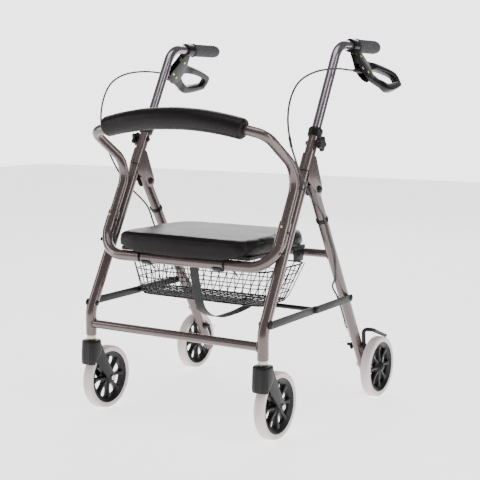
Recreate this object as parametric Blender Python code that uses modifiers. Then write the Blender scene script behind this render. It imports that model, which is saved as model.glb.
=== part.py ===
"""Folding rollator walker: tube frame with seat, basket, backrest, four wheels and hand brakes.

Metres, +Z up. The front, with the casters and the backrest, is -Y, and left is -X.
Pieces are placed from the axis of the front caster stems (Y = 0) and the floor (Z = 0). One
empty above them all moves the whole walker so that its box is centred over the origin.
"""

import math

import bmesh
import bpy
from mathutils import Matrix, Vector

# ---- driving sizes ---------------------------------------------------------------------------
GAP = 0.0003                 # clearance between pieces that touch
RUN = 0.0005                 # clearance of a pin or shaft in its hole

TUBE_R = 0.0127              # frame tube
TUBE_WALL = 0.0012
HANDLE_PLAY = 0.0005         # handle tube in the leg
CROSS_R = 0.0100             # lower cross tube and rear rest tube
TRACK = 0.239                # half distance between the legs

WHEEL_R = 0.0762             # six inch wheel
TYRE_WIDTH = 0.0250
TYRE_DEPTH = 0.0135
HUB_WIDTH = 0.0230
HUB_SPOKES = 8
WHEEL_SIDES = 24             # facets of tyre and hub, the same for both so that they fit
AXLE_R = 0.0040
NUT_R = 0.0072
CASTER_TRAIL = 0.0540
REAR_AXLE_Y = 0.4964
REAR_OFFSET = 0.0395         # rear wheel outboard of its leg

FORK_CROWN = 0.0256          # top of the fork above the wheel
FORK_HEAD_R = 0.0195
FORK_ARM = 0.0040            # thickness of a fork arm
FORK_PLAY = 0.0030           # beside the tyre
FORK_EYE_R = 0.0125          # round the axle
STEM_R = 0.0058
STEM_NUT = 0.0120            # height of the nut between fork and leg
STEM_DEPTH = 0.0180          # stem inside the leg

FOOT_LENGTH = 0.060          # upright foot of a front leg
LEG_SLOPE = 0.541            # run back for each metre of rise
LEG_TOP_Z = 0.675
LEG_BEND_R = 0.060
CROSS_RISE = 0.0278          # lower cross tube above the leg's end

GRIP_Z = 0.874               # axis of the hand grips
GRIP_REACH = 0.2084          # from where the leg's line meets that axis to the grip's end
GRIP_LENGTH = 0.118
GRIP_R = 0.0165
HANDLE_BEND_R = 0.055
HANDLE_INSERT = 0.155        # handle tube inside the leg

HINGE_Y = 0.222              # pivot of the rear legs
HINGE_Z = 0.544
HINGE_PIN_R = 0.0045
BRACKET_SHEET = 0.0020
BRACKET_START = 0.041        # bracket's wrap round the leg, above the pivot
BRACKET_LENGTH = 0.037
BRACKET_LOBE_R = 0.0165      # round the pivot

SEAT_TUBE_Z = 0.3820         # bottom of the seat's front tube, and the rear rest tube
SEAT_TUBE_CORNER = 0.062
SEAT_TUBE_RISE = 0.096       # its arms beside the legs
SEAT_INSET = 0.049           # seat's side inside the legs
SEAT_OVERHANG = 0.030        # seat's front edge ahead of its tube
SEAT_BACK_GAP = 0.007        # seat's rear edge ahead of the rest tube
SEAT_BOARD = 0.0090
SEAT_PAD = 0.0340
SEAT_LIP = 0.0140            # how far the pad hangs in front of the tube
SEAT_EDGE_R = 0.012
CLIP_WIDTH = 0.022
CLIP_WALL = 0.0030

BACK_BEND_RISE = 0.203       # where the backrest tube leaves the leg line, above the seat tube
BACK_RISE = 0.099            # from there to its end under the pad
BACK_TOP_Y = 0.006
BACK_INSET = 0.003           # backrest tube's corner inside the legs
BACK_TUBE_R = 0.0115
PAD_INSET = 0.052
PAD_ARCH = 0.0220
PAD_BOW = 0.0040             # how far the pad's middle stands forward
PAD_R = 0.0270

BRACE_FRONT_Z = 0.266        # front pivot of the side brace
BRACE_REAR_Z = 0.268
BRACE_HALF_LENGTH = 0.201    # front pivot to middle pivot
BRACE_WIDTH = 0.0180
BRACE_THICK = 0.0028
BRACE_PLAY = 0.0010
PIN_R = 0.0035
FOLD_BAR_R = 0.0055

BASKET_DROP = 0.018          # rim under the seat tube's axis
BASKET_DEPTH = 0.081
BASKET_INSET = 0.049
BASKET_TAPER = 0.018         # floor narrower than the rim, each side
BASKET_FRONT_GAP = 0.048     # rim behind the seat tube's axis
BASKET_REAR_GAP = 0.029      # rim ahead of the rest tube's axis
BASKET_FRONT_SLANT = 0.016
BASKET_REAR_SLANT = 0.060
WIRE = 0.0024
BASKET_CELL = 0.045

BRAKE_TILT = math.radians(31.0)   # the brake leans outward from the grip
BRAKE_CLAMP_GAP = 0.018      # clamp's middle ahead of the grip
BRAKE_CLAMP_HALF = 0.013
BRAKE_PIVOT_BACK = 0.006     # lever's pivot ahead of the clamp's middle
BRAKE_PIVOT_DROP = 0.078
BRAKE_THICK = 0.0160
LEVER_THICK = 0.0130
CABLE_R = 0.0022

BRAKE_ARM_Z = 0.132          # pivot of the rear brake on the leg
BRAKE_BAR_R = 0.0052
TYRE_CLEAR = 0.0036          # brake bar off the tyre
KNOB_DROP = 0.027            # knob's screw under the leg's end
KNOB_R = 0.0180
KNOB_LOBES = 5
STRAP_WIDTH = 0.0240
STRAP_THICK = 0.0022

# ---- worked out places -----------------------------------------------------------------------
INNER_TUBE_R = TUBE_R - TUBE_WALL - HANDLE_PLAY
FORK_TOP_Z = 2 * WHEEL_R + FORK_CROWN
LEG_FOOT_Z = FORK_TOP_Z + STEM_NUT
LEG_BEND_Z = LEG_FOOT_Z + FOOT_LENGTH
CROSS_Z = LEG_FOOT_Z + CROSS_RISE
REAR_TRACK = TRACK + REAR_OFFSET
SEAT_HALF = TRACK - SEAT_INSET
PAD_HALF = TRACK - PAD_INSET
BACK_BEND_Z = SEAT_TUBE_Z + BACK_BEND_RISE
BACK_TOP_Z = BACK_BEND_Z + BACK_RISE
KNOB_Z = LEG_TOP_Z - KNOB_DROP
FRONT_EDGE_Y = BACK_TOP_Y - PAD_BOW - PAD_R
REAR_EDGE_Y = REAR_AXLE_Y + WHEEL_R
CENTRE_Y = (FRONT_EDGE_Y + REAR_EDGE_Y) / 2
LEG_DIR = Vector((0.0, LEG_SLOPE, 1.0)).normalized()
LEG_BACK = Vector((0.0, LEG_DIR.z, -LEG_DIR.y))
REAR_DIR = Vector((0.0, REAR_AXLE_Y - HINGE_Y, WHEEL_R - HINGE_Z)).normalized()
TUBE_SHIFT = -(2 * TUBE_R + GAP) / LEG_DIR.z
SIDES = (("left", -1), ("right", 1))
BRAKE_DOWN = {side: Vector((side * math.sin(BRAKE_TILT), 0.0, -math.cos(BRAKE_TILT))) for _, side in SIDES}


def leg_y(z):
    """The Y of a front leg's axis at height z, above its bend."""
    return LEG_SLOPE * (z - LEG_BEND_Z)


def leg_point(side, z):
    return Vector((side * TRACK, leg_y(z), z))


def rear_y(z):
    """The Y of a rear leg's axis at height z."""
    return HINGE_Y + REAR_DIR.y / REAR_DIR.z * (z - HINGE_Z)


def rear_point(side, z):
    return Vector((side * TRACK, rear_y(z), z))


def seat_tube_y():
    return leg_y(SEAT_TUBE_Z) + TUBE_SHIFT


def grip_end_y():
    return leg_y(GRIP_Z) + GRIP_REACH


def brake_clamp_y():
    return grip_end_y() - GRIP_LENGTH - BRAKE_CLAMP_GAP


def brake_pivot_y():
    return brake_clamp_y() - BRAKE_PIVOT_BACK


# ---- scene -----------------------------------------------------------------------------------
def clear_scene():
    for item in list(bpy.data.objects):
        bpy.data.objects.remove(item, do_unlink=True)


def new_collection(name):
    made = bpy.data.collections.new(name)
    bpy.context.scene.collection.children.link(made)
    return made


def material(name, colour, roughness, metallic=0.0):
    made = bpy.data.materials.new(name)
    made.use_nodes = True
    shader = made.node_tree.nodes["Principled BSDF"]
    shader.inputs["Base Color"].default_value = (*colour, 1.0)
    shader.inputs["Roughness"].default_value = roughness
    shader.inputs["Metallic"].default_value = metallic
    made.diffuse_color = (*colour, 1.0)
    return made


def add_object(name, data, parent, finish=None, home=None):
    made = bpy.data.objects.new(name, data)
    (home or PARTS).objects.link(made)
    made.parent = parent
    if finish:
        data.materials.append(finish)
    return made


def pivot(name, place, parent):
    """An empty on a joint's axis, which carries what turns or slides there."""
    made = bpy.data.objects.new(name, None)
    PARTS.objects.link(made)
    made.empty_display_size = 0.03
    made.parent = parent
    made.location = Vector(place) - world_of(parent)
    return made


def world_of(item):
    """An empty's place in the walker's own coordinates, measured from the caster axis."""
    place = Vector((0.0, 0.0, 0.0))
    while item is not None and item is not ROOT:
        place += item.location
        item = item.parent
    return place


# ---- building blocks -------------------------------------------------------------------------
def from_bmesh(name, shape):
    bmesh.ops.remove_doubles(shape, verts=shape.verts, dist=1e-5)
    bmesh.ops.recalc_face_normals(shape, faces=shape.faces)
    mesh = bpy.data.meshes.new(name)
    shape.to_mesh(mesh)
    shape.free()
    return mesh


def settle(item, parent):
    """Moves mesh points, given in walker coordinates, so that the object's origin is its parent's."""
    item.data.transform(Matrix.Translation(-world_of(parent)))
    return item


def shade(item, angle=40.0):
    item.data.shade_smooth()
    item.data.set_sharp_from_angle(angle=math.radians(angle))
    return item


def rounded_path(corners, radii, steps=4):
    """Points of a path through the corners, each turned with an arc of its own radius."""
    path = [Vector(corners[0])]
    for before, corner, after, radius in zip(corners, corners[1:], corners[2:], radii):
        corner = Vector(corner)
        back = (Vector(before) - corner).normalized()
        ahead = (Vector(after) - corner).normalized()
        half = back.angle(ahead) / 2
        reach = radius / math.tan(half)
        centre = corner + (back + ahead).normalized() * (radius / math.sin(half))
        start = corner + back * reach - centre
        turn = Matrix.Rotation((math.pi - 2 * half) / steps, 3, back.cross(ahead).normalized() * -1)
        for _ in range(steps + 1):
            path.append(centre + start)
            start = turn @ start
    path.append(Vector(corners[-1]))
    return path


def smooth_path(corners, steps=5):
    """A Catmull-Rom curve through the corners, as points."""
    ends = [corners[0] * 2 - corners[1], *corners, corners[-1] * 2 - corners[-2]]
    path = []
    for a, b, c, d in zip(ends, ends[1:], ends[2:], ends[3:]):
        for step in range(steps):
            t = step / steps
            path.append(0.5 * (2 * b + (c - a) * t + (2 * a - 5 * b + 4 * c - d) * t * t
                               + (3 * b - a - 3 * c + d) * t * t * t))
    path.append(corners[-1].copy())
    return path


def swept_mesh(name, points, radius, roundness, caps):
    """The mesh of a round bar or open tube along the points."""
    curve = bpy.data.curves.new(name, "CURVE")
    curve.dimensions = "3D"
    curve.bevel_depth = radius
    curve.bevel_resolution = roundness
    curve.use_fill_caps = caps
    spline = curve.splines.new("POLY")
    spline.points.add(len(points) - 1)
    for knot, point in zip(spline.points, points):
        knot.co = (*point, 1.0)
    guide = bpy.data.objects.new(name + "_guide", curve)
    HELPERS.objects.link(guide)
    bpy.context.view_layer.update()
    mesh = bpy.data.meshes.new_from_object(guide.evaluated_get(bpy.context.evaluated_depsgraph_get()))
    bpy.data.objects.remove(guide, do_unlink=True)
    shape = bmesh.new()
    shape.from_mesh(mesh)
    bmesh.ops.remove_doubles(shape, verts=shape.verts, dist=1e-5)
    if caps:
        bmesh.ops.recalc_face_normals(shape, faces=shape.faces)
    shape.to_mesh(mesh)
    shape.free()
    return mesh


def rod(name, points, radius, parent, finish, roundness=3):
    """A solid round bar along the points."""
    mesh = swept_mesh(name, points, radius, roundness, True)
    return shade(settle(add_object(name, mesh, parent, finish), parent))


def pipe(name, points, radius, parent, finish, wall=TUBE_WALL, roundness=4):
    """A hollow tube along the points, open at both ends."""
    mesh = swept_mesh(name, points, radius, roundness, False)
    item = shade(settle(add_object(name, mesh, parent, finish), parent))
    shell = item.modifiers.new("wall", "SOLIDIFY")
    shell.thickness = wall
    shell.offset = -1.0
    shell.use_even_offset = True
    return item


def cylinder_mesh(name, start, end, radius, sides=20, end_radius=None):
    start = Vector(start)
    axis = Vector(end) - start
    shape = bmesh.new()
    bmesh.ops.create_cone(shape, cap_ends=True, segments=sides, radius1=radius,
                          radius2=radius if end_radius is None else end_radius, depth=axis.length)
    place = Matrix.Translation(start + axis / 2) @ axis.to_track_quat("Z", "Y").to_matrix().to_4x4()
    bmesh.ops.transform(shape, matrix=place, verts=shape.verts)
    return from_bmesh(name, shape)


def box_mesh(name, low, high):
    low = Vector(low)
    size = Vector(high) - low
    shape = bmesh.new()
    bmesh.ops.create_cube(shape, size=1.0)
    bmesh.ops.scale(shape, vec=size, verts=shape.verts)
    bmesh.ops.translate(shape, vec=low + size / 2, verts=shape.verts)
    return from_bmesh(name, shape)


def turned_mesh(name, profile, centre, axis, steps=24):
    """A ring or disc turned round the axis. The profile is (radius, along) pairs, closed on itself."""
    shape = bmesh.new()
    knots = [shape.verts.new((radius, 0.0, along)) for radius, along in profile]
    edges = [shape.edges.new((a, b)) for a, b in zip(knots, knots[1:] + knots[:1])]
    bmesh.ops.spin(shape, geom=knots + edges, cent=(0, 0, 0), axis=(0, 0, 1), dvec=(0, 0, 0),
                   angle=2 * math.pi, steps=steps, use_merge=True)
    place = Matrix.Translation(Vector(centre)) @ Vector(axis).to_track_quat("Z", "Y").to_matrix().to_4x4()
    bmesh.ops.transform(shape, matrix=place, verts=shape.verts)
    return from_bmesh(name, shape)


def plate_mesh(name, outline, origin, across, up, thickness):
    """A flat plate. The outline is (across, up) pairs, and the plate grows both ways from its plane."""
    across = Vector(across).normalized()
    up = Vector(up).normalized()
    normal = across.cross(up)
    shape = bmesh.new()
    low = Vector(origin) - normal * thickness / 2
    face = shape.faces.new([shape.verts.new(low + across * a + up * b) for a, b in outline])
    grown = bmesh.ops.extrude_face_region(shape, geom=[face])
    moved = [part for part in grown["geom"] if isinstance(part, bmesh.types.BMVert)]
    bmesh.ops.translate(shape, vec=normal * thickness, verts=moved)
    return from_bmesh(name, shape)


def slot_outline(start, end, radius, steps=6):
    """The outline of a bar with round ends between two (across, up) points."""
    start = Vector(start)
    end = Vector(end)
    heading = math.atan2(end.y - start.y, end.x - start.x)
    outline = []
    for centre, first in ((end, heading - math.pi / 2), (start, heading + math.pi / 2)):
        for step in range(steps + 1):
            angle = first + math.pi * step / steps
            outline.append((centre.x + radius * math.cos(angle), centre.y + radius * math.sin(angle)))
    return outline


def piece(name, mesh, parent, finish, angle=40.0):
    return shade(settle(add_object(name, mesh, parent, finish), parent), angle)


def tool(name, mesh, parent):
    """A hidden cutter or a shape to be joined on."""
    made = settle(add_object(name, mesh, parent, home=HELPERS), parent)
    made.hide_render = True
    made.display_type = "WIRE"
    return made


def combine(item, operation, *helpers):
    for helper in helpers:
        step = item.modifiers.new(operation.lower(), "BOOLEAN")
        step.operation = operation
        step.object = helper
        step.solver = "EXACT"
    return item


def drill(item, label, start, end, radius, sides=16):
    """Cuts a round hole with the running clearance already in its radius."""
    cutter = tool(f"{item.name}_{label}", cylinder_mesh(label, start, end, radius, sides), item.parent)
    return combine(item, "DIFFERENCE", cutter)


def bevel(item, width, segments=2, angle=35.0):
    step = item.modifiers.new("edges", "BEVEL")
    step.width = width
    step.segments = segments
    step.limit_method = "ANGLE"
    step.angle_limit = math.radians(angle)
    return item


# ---- frame -----------------------------------------------------------------------------------
def front_frame():
    for label, side in SIDES:
        front_leg(label, side)
        hinge_bracket(label, side)
        height_collar(label, side)
    lower_cross_tube()
    seat_front_tube()
    backrest()


def front_leg(label, side):
    x = side * TRACK
    path = rounded_path([(x, 0, LEG_FOOT_Z), (x, 0, LEG_BEND_Z), (x, leg_y(LEG_TOP_Z), LEG_TOP_Z)],
                        [LEG_BEND_R])
    item = pipe(f"front_leg_{label}", path, TUBE_R, ROOT, PAINT)
    hole = Vector((TUBE_R * 2, 0, 0))
    pin = brace_pin(side, "front")
    drill(item, "brace_hole", pin - hole, pin + hole, PIN_R + RUN, 10)


def brace_pin(side, which):
    if which == "front":
        return leg_point(side, BRACE_FRONT_Z)
    return rear_point(side, BRACE_REAR_Z)


def lower_cross_tube():
    reach = TRACK - TUBE_WALL
    item = pipe("lower_cross_tube", [Vector((-reach, 0, CROSS_Z)), Vector((reach, 0, CROSS_Z))], CROSS_R,
                ROOT,
                PAINT)
    for label, side in SIDES:
        foot = Vector((side * TRACK, 0, CROSS_Z))
        reach = Vector((0, 0, CROSS_R * 4))
        drill(item, f"cope_{label}", foot - reach, foot + reach, TUBE_R + GAP, 24)


def seat_front_tube():
    """The U tube under the seat's front. Its arms run up along the front of the legs."""
    top_z = SEAT_TUBE_Z + SEAT_TUBE_RISE
    corners = []
    for side in (-1, 1):
        arm = [(side * TRACK, leg_y(top_z) + TUBE_SHIFT, top_z),
               (side * TRACK, leg_y(SEAT_TUBE_Z) + TUBE_SHIFT, SEAT_TUBE_Z)]
        corners += arm if side < 0 else arm[::-1]
    path = rounded_path(corners, [SEAT_TUBE_CORNER, SEAT_TUBE_CORNER], steps=5)
    pipe("seat_front_tube", path, TUBE_R, ROOT, PAINT)


def backrest():
    """The hoop that stands in the U tube and bends forward and in to the pad."""
    start_z = SEAT_TUBE_Z + SEAT_TUBE_RISE + 3 * GAP
    half = []
    for z in (start_z, BACK_BEND_Z):
        half.append((TRACK, leg_y(z) + TUBE_SHIFT, z))
    shoulder = BACK_TUBE_R
    half.append((TRACK - BACK_INSET, BACK_TOP_Y + shoulder, BACK_TOP_Z - shoulder))
    half.append((PAD_HALF, BACK_TOP_Y, BACK_TOP_Z))
    mirrored = [(-x, y, z) for x, y, z in half]
    crown = [(PAD_HALF * share, BACK_TOP_Y - PAD_BOW, BACK_TOP_Z + PAD_ARCH) for share in (-0.45, 0.45)]
    radii = [0.060, 0.032, 0.20, 0.20, 0.032, 0.060]
    path = rounded_path(mirrored[:3] + crown + half[:3][::-1], radii, steps=3)
    pipe("backrest_tube", path, BACK_TUBE_R, ROOT, PAINT, roundness=3)
    pad_path = []
    for step in range(11):
        across = -1 + step / 5
        arch = 1 - across * across
        pad_path.append(Vector((PAD_HALF * across, BACK_TOP_Y - PAD_BOW * arch,
                                BACK_TOP_Z + PAD_ARCH * arch)))
    pad = rod("backrest_pad", pad_path, PAD_R, ROOT, VINYL, roundness=4)
    core = tool("backrest_pad_core", swept_mesh("core", near_pad(path), BACK_TUBE_R + 4 * GAP, 3, True), ROOT)
    combine(pad, "DIFFERENCE", core)


def near_pad(path):
    """The part of the hoop's path near the pad, for the bore that it passes through."""
    return [point for point in path if point.z > BACK_TOP_Z - PAD_R]


def hinge_bracket(label, side):
    """A folded sheet bracket: a web in front of the leg, and two cheeks back to the pivot."""
    inner = TUBE_R + GAP
    outer = inner + BRACKET_SHEET
    foot = Vector((0.0, 0.0, LEG_BEND_Z))
    hinge = Vector((0.0, HINGE_Y, HINGE_Z)) - foot
    along = hinge.dot(LEG_DIR)
    back = hinge.dot(LEG_BACK)
    low = (HINGE_Z + BRACKET_START - LEG_BEND_Z) / LEG_DIR.z
    high = low + BRACKET_LENGTH / LEG_DIR.z
    outline = [(low, -outer), (high, -outer), (high, TUBE_R * 0.6)]
    for step in range(9):
        angle = math.radians(35 + step * 25)
        outline.append((along + BRACKET_LOBE_R * math.cos(angle), back + BRACKET_LOBE_R * math.sin(angle)))
    outline.append((low - 0.022, -0.004))
    origin = foot + Vector((side * TRACK, 0, 0))
    body = plate_mesh("bracket", outline, origin, LEG_DIR, LEG_BACK, 2 * outer)
    item = piece(f"hinge_bracket_{label}", body, ROOT, PAINT)
    beyond = 0.1
    channel = [(low - beyond, -inner), (high + beyond, -inner), (high + beyond, 2 * beyond),
               (low - beyond, 2 * beyond)]
    hollow = plate_mesh("channel", channel, origin, LEG_DIR, LEG_BACK, 2 * inner)
    combine(item, "DIFFERENCE", tool(f"bracket_channel_{label}", hollow, ROOT))
    reach = Vector((outer + HINGE_PIN_R, 0, 0))
    centre = Vector((side * TRACK, HINGE_Y, HINGE_Z))
    drill(item, "hole", centre - reach, centre + reach, HINGE_PIN_R + GAP, 12)
    shank = cylinder_mesh("bolt", centre - reach, centre + reach, HINGE_PIN_R, 12)
    bolt = piece(f"hinge_bolt_{label}", shank, ROOT, BLACK)
    for end in (-1, 1):
        face = centre + Vector((end * (outer + GAP), 0, 0))
        cap = cylinder_mesh("cap", face, face + Vector((end * 0.0055, 0, 0)), 0.0075, 16, 0.0060)
        combine(bolt, "UNION", tool(f"bolt_cap_{label}_{end + 1}", cap, ROOT))


def height_collar(label, side):
    """The plastic ring over the leg's top end, which guides the handle tube."""
    inner = TUBE_R + GAP
    outer = inner + 0.0032
    lip = INNER_TUBE_R + RUN
    profile = [(inner, -0.014), (outer, -0.014), (outer + 0.0006, -0.005), (outer + GAP, 0.005), (lip, 0.005),
               (lip, GAP), (inner, GAP)]
    mesh = turned_mesh("collar", profile, leg_point(side, LEG_TOP_Z), LEG_DIR, 18)
    piece(f"height_collar_{label}", mesh, ROOT, BLACK)


def height_knob(label, side):
    """The star knob on the outer side of the leg's top."""
    centre = leg_point(side, KNOB_Z)
    outward = Vector((side, 0, 0))
    base = centre + outward * (TUBE_R + GAP)
    carrier = pivot(f"height_knob_{label}_axis", base, ROOT)
    outline = []
    steps = 7 * KNOB_LOBES
    for step in range(steps):
        angle = 2 * math.pi * step / steps
        radius = KNOB_R * (0.86 + 0.14 * math.cos(KNOB_LOBES * angle))
        outline.append((radius * math.cos(angle), radius * math.sin(angle)))
    star = plate_mesh("star", outline, base + outward * 0.0105, LEG_DIR, LEG_BACK, 0.0090)
    knob = piece(f"height_knob_{label}", star, carrier, BLACK)
    neck = tool(f"knob_neck_{label}", cylinder_mesh("neck", base, base + outward * 0.010, 0.0070, 16),
                carrier)
    combine(knob, "UNION", neck)


# ---- handles ---------------------------------------------------------------------------------
def handle(label, side):
    carrier = pivot(f"handle_{label}_slide", leg_point(side, LEG_TOP_Z), ROOT)
    x = side * TRACK
    foot_z = LEG_TOP_Z - HANDLE_INSERT
    path = rounded_path([(x, leg_y(foot_z), foot_z), (x, leg_y(GRIP_Z), GRIP_Z),
                         (x, grip_end_y() - 0.004, GRIP_Z)],
                        [HANDLE_BEND_R], steps=7)
    pipe(f"handle_tube_{label}", path, INNER_TUBE_R, carrier, SILVER)
    grip(label, x, carrier)
    brake_housing(label, side, carrier)
    brake_lever(label, side, carrier)


def grip(label, x, carrier):
    bore = INNER_TUBE_R + 0.0004
    start = grip_end_y() - GRIP_LENGTH
    profile = [(bore, 0.0), (GRIP_R, 0.0), (GRIP_R + 0.0015, 0.004), (GRIP_R, 0.010)]
    for step in range(1, 5):
        along = 0.010 + (GRIP_LENGTH - 0.022) * step / 5
        profile.append((GRIP_R - 0.0006 * math.sin(math.pi * step / 5), along))
    profile += [(GRIP_R, GRIP_LENGTH - 0.010), (GRIP_R - 0.003, GRIP_LENGTH), (0.0040, GRIP_LENGTH),
                (0.0040, GRIP_LENGTH - 0.0036), (bore, GRIP_LENGTH - 0.0036)]
    mesh = turned_mesh("grip", profile, (x, start, GRIP_Z), (0, 1, 0), 16)
    piece(f"grip_{label}", mesh, carrier, RUBBER)


def brake_place(side, y, drop):
    """A point of the leaning brake, by its Y and its distance below the grip's axis."""
    return Vector((side * TRACK, y, GRIP_Z)) + BRAKE_DOWN[side] * drop


def brake_out(side):
    return Vector((side * math.cos(BRAKE_TILT), 0.0, math.sin(BRAKE_TILT)))


def brake_plate(side, name, outline, thickness):
    """A plate in the brake's plane. The outline is (Y, drop) pairs."""
    across = Vector((0, 1, 0))
    origin = Vector((side * TRACK, 0, GRIP_Z))
    return plate_mesh(name, outline, origin, across, BRAKE_DOWN[side], thickness)


def brake_housing(label, side, carrier):
    """The clamp on the handle tube with its fan-shaped body and the cable's ferrule."""
    bore = INNER_TUBE_R + 0.0005
    profile = [(bore, -BRAKE_CLAMP_HALF), (GRIP_R, -BRAKE_CLAMP_HALF), (GRIP_R, BRAKE_CLAMP_HALF),
               (bore, BRAKE_CLAMP_HALF)]
    ring = turned_mesh("clamp", profile, (side * TRACK, brake_clamp_y(), GRIP_Z), (0, 1, 0), 16)
    item = piece(f"brake_housing_{label}", ring, carrier, BLACK)
    pivot_y = brake_pivot_y()
    outline = [(pivot_y - 0.006, 0.0145), (pivot_y + 0.018, 0.0145), (pivot_y + 0.026, 0.045)]
    for step in range(7):
        angle = math.radians(-35 + step * 35)
        outline.append((pivot_y - 0.004 + 0.028 * math.cos(angle), BRAKE_PIVOT_DROP - 0.004
                        + 0.024 * math.sin(angle)))
    outline.append((pivot_y - 0.020, 0.040))
    combine(item, "UNION",
            tool(f"housing_fan_{label}", brake_plate(side, "fan", outline, BRAKE_THICK), carrier))
    slot = [(pivot_y - 0.016, 0.026), (pivot_y + 0.060, 0.026), (pivot_y + 0.060, 0.125),
            (pivot_y - 0.016, 0.125)]
    combine(item, "DIFFERENCE",
            tool(f"housing_slot_{label}", brake_plate(side, "slot", slot, LEVER_THICK + 2 * GAP), carrier))
    nose_start = brake_place(side, pivot_y - 0.024, BRAKE_PIVOT_DROP - 0.006)
    nose_end = brake_place(side, pivot_y - 0.056, BRAKE_PIVOT_DROP - 0.008)
    nose = cylinder_mesh("nose", nose_start, nose_end, 0.0058, 14, 0.0040)
    combine(item, "UNION", tool(f"housing_nose_{label}", nose, carrier))
    out = brake_out(side) * (BRAKE_THICK / 2 + 0.001)
    middle = brake_place(side, pivot_y, BRAKE_PIVOT_DROP)
    pin = cylinder_mesh("rivet", middle - out, middle + out, PIN_R, 12)
    combine(item, "UNION", tool(f"housing_rivet_{label}", pin, carrier))


def brake_lever(label, side, carrier):
    """The closed loop that the fingers pull, on its pivot in the housing."""
    pivot_y = brake_pivot_y()
    axis = pivot(f"brake_lever_{label}_axis", brake_place(side, pivot_y, BRAKE_PIVOT_DROP), carrier)
    outer = rounded_path([(pivot_y + 0.0085, 0.0395, 0), (pivot_y + 0.096, 0.0560, 0),
                          (pivot_y + 0.162, 0.0800, 0),
                          (pivot_y + 0.158, 0.1120, 0), (pivot_y + 0.076, 0.1290, 0), (pivot_y - 0.002,
                                                                                       0.0930, 0),
                                                                                       (pivot_y - 0.009,
                                                                                        0.0700, 0)],
                         [0.10, 0.016, 0.014, 0.06, 0.02], steps=3)
    inner = rounded_path([(pivot_y + 0.025, 0.0600, 0), (pivot_y + 0.096, 0.0640, 0),
                          (pivot_y + 0.148, 0.0830, 0),
                          (pivot_y + 0.145, 0.1050, 0), (pivot_y + 0.080, 0.1190, 0), (pivot_y + 0.020,
                                                                                       0.0850, 0)], [0.10,
                                                                                                     0.009,
                                                                                                     0.008,
                                                                                                     0.05],
                                                                                                     steps=3)
    outline = [(point.x, point.y) for point in outer]
    window = [(point.x, point.y) for point in inner]
    item = piece(f"brake_lever_{label}", brake_plate(side, "lever", outline, LEVER_THICK), axis, BLACK)
    combine(item, "DIFFERENCE",
            tool(f"lever_window_{label}", brake_plate(side, "window", window, LEVER_THICK * 2), axis))
    middle = brake_place(side, pivot_y, BRAKE_PIVOT_DROP)
    out = brake_out(side) * LEVER_THICK
    drill(item, "hole", middle - out, middle + out, PIN_R + RUN)


# ---- wheels ----------------------------------------------------------------------------------
def wheel(name, centre, axis_parent):
    """A soft tyre on a spoked hub, both round an X axis."""
    carrier = pivot(f"{name}_axis", centre, axis_parent)
    half = TYRE_WIDTH / 2
    seat = WHEEL_R - TYRE_DEPTH
    tyre = [(seat, -HUB_WIDTH / 2), (WHEEL_R - 0.006, -half), (WHEEL_R, -half * 0.45), (WHEEL_R, half * 0.45),
            (WHEEL_R - 0.006, half), (seat, HUB_WIDTH / 2)]
    piece(f"{name}_tyre", turned_mesh("tyre", tyre, centre, (1, 0, 0), WHEEL_SIDES), carrier, TYRE)
    hub(name, centre, carrier, seat - GAP)


def hub(name, centre, carrier, radius):
    """The rim, the boss and the ribs between them, cut from one turned disc."""
    bore = AXLE_R + RUN
    web = 0.0050
    half = HUB_WIDTH / 2
    rim = radius - 0.0070
    profile = [(bore, -half), (0.0125, -half), (0.0150, -web), (rim - 0.002, -web), (rim, -half),
               (radius, -half),
               (radius, half), (rim, half), (rim - 0.002, web), (0.0150, web), (0.0125, half), (bore, half)]
    item = piece(f"{name}_hub", turned_mesh("hub", profile, centre, (1, 0, 0), WHEEL_SIDES), carrier, BLACK)
    for turn in range(HUB_SPOKES):
        angle = 2 * math.pi * (turn + 0.5) / HUB_SPOKES
        window = [(-0.0115, rim - 0.006), (0.0115, rim - 0.006), (0.0024, 0.0225), (-0.0024, 0.0225)]
        across = (0, math.cos(angle), math.sin(angle))
        out = (0, -math.sin(angle), math.cos(angle))
        cutter = tool(f"{name}_window_{turn}", plate_mesh("window", window, centre, across, out, HUB_WIDTH),
                      carrier)
        combine(item, "DIFFERENCE", cutter)


def caster(label, side):
    """Fork, stem and wheel, which swivel together round the stem."""
    x = side * TRACK
    carrier = pivot(f"caster_{label}_swivel", (x, 0, FORK_TOP_Z), ROOT)
    stem = cylinder_mesh("nut", (x, 0, FORK_TOP_Z + GAP), (x, 0, LEG_FOOT_Z - GAP), 0.0095, 6)
    item = piece(f"caster_stem_{label}", stem, carrier, STEEL)
    shank = cylinder_mesh("shank", (x, 0, FORK_TOP_Z + STEM_NUT / 2), (x, 0, LEG_FOOT_Z + STEM_DEPTH),
                          STEM_R, 12)
    combine(item, "UNION", tool(f"caster_shank_{label}", shank, carrier))
    caster_fork(label, side, carrier)
    centre = Vector((x, CASTER_TRAIL, WHEEL_R))
    wheel(f"front_wheel_{label}", centre, carrier)
    reach = Vector((fork_half() + 0.0030, 0, 0))
    axle = cylinder_mesh("axle", centre - reach, centre + reach, AXLE_R, 12)
    axle_item = piece(f"caster_axle_{label}", axle, carrier, STEEL)
    for end in (-1, 1):
        face = centre + Vector((end * (fork_half() + GAP), 0, 0))
        head = cylinder_mesh("head", face, face + Vector((end * AXLE_R * 0.9, 0, 0)), NUT_R, 6)
        combine(axle_item, "UNION", tool(f"caster_head_{label}_{end + 1}", head, carrier))


def fork_half():
    """Half the width across a fork's arms."""
    return TYRE_WIDTH / 2 + FORK_PLAY + FORK_ARM


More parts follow.
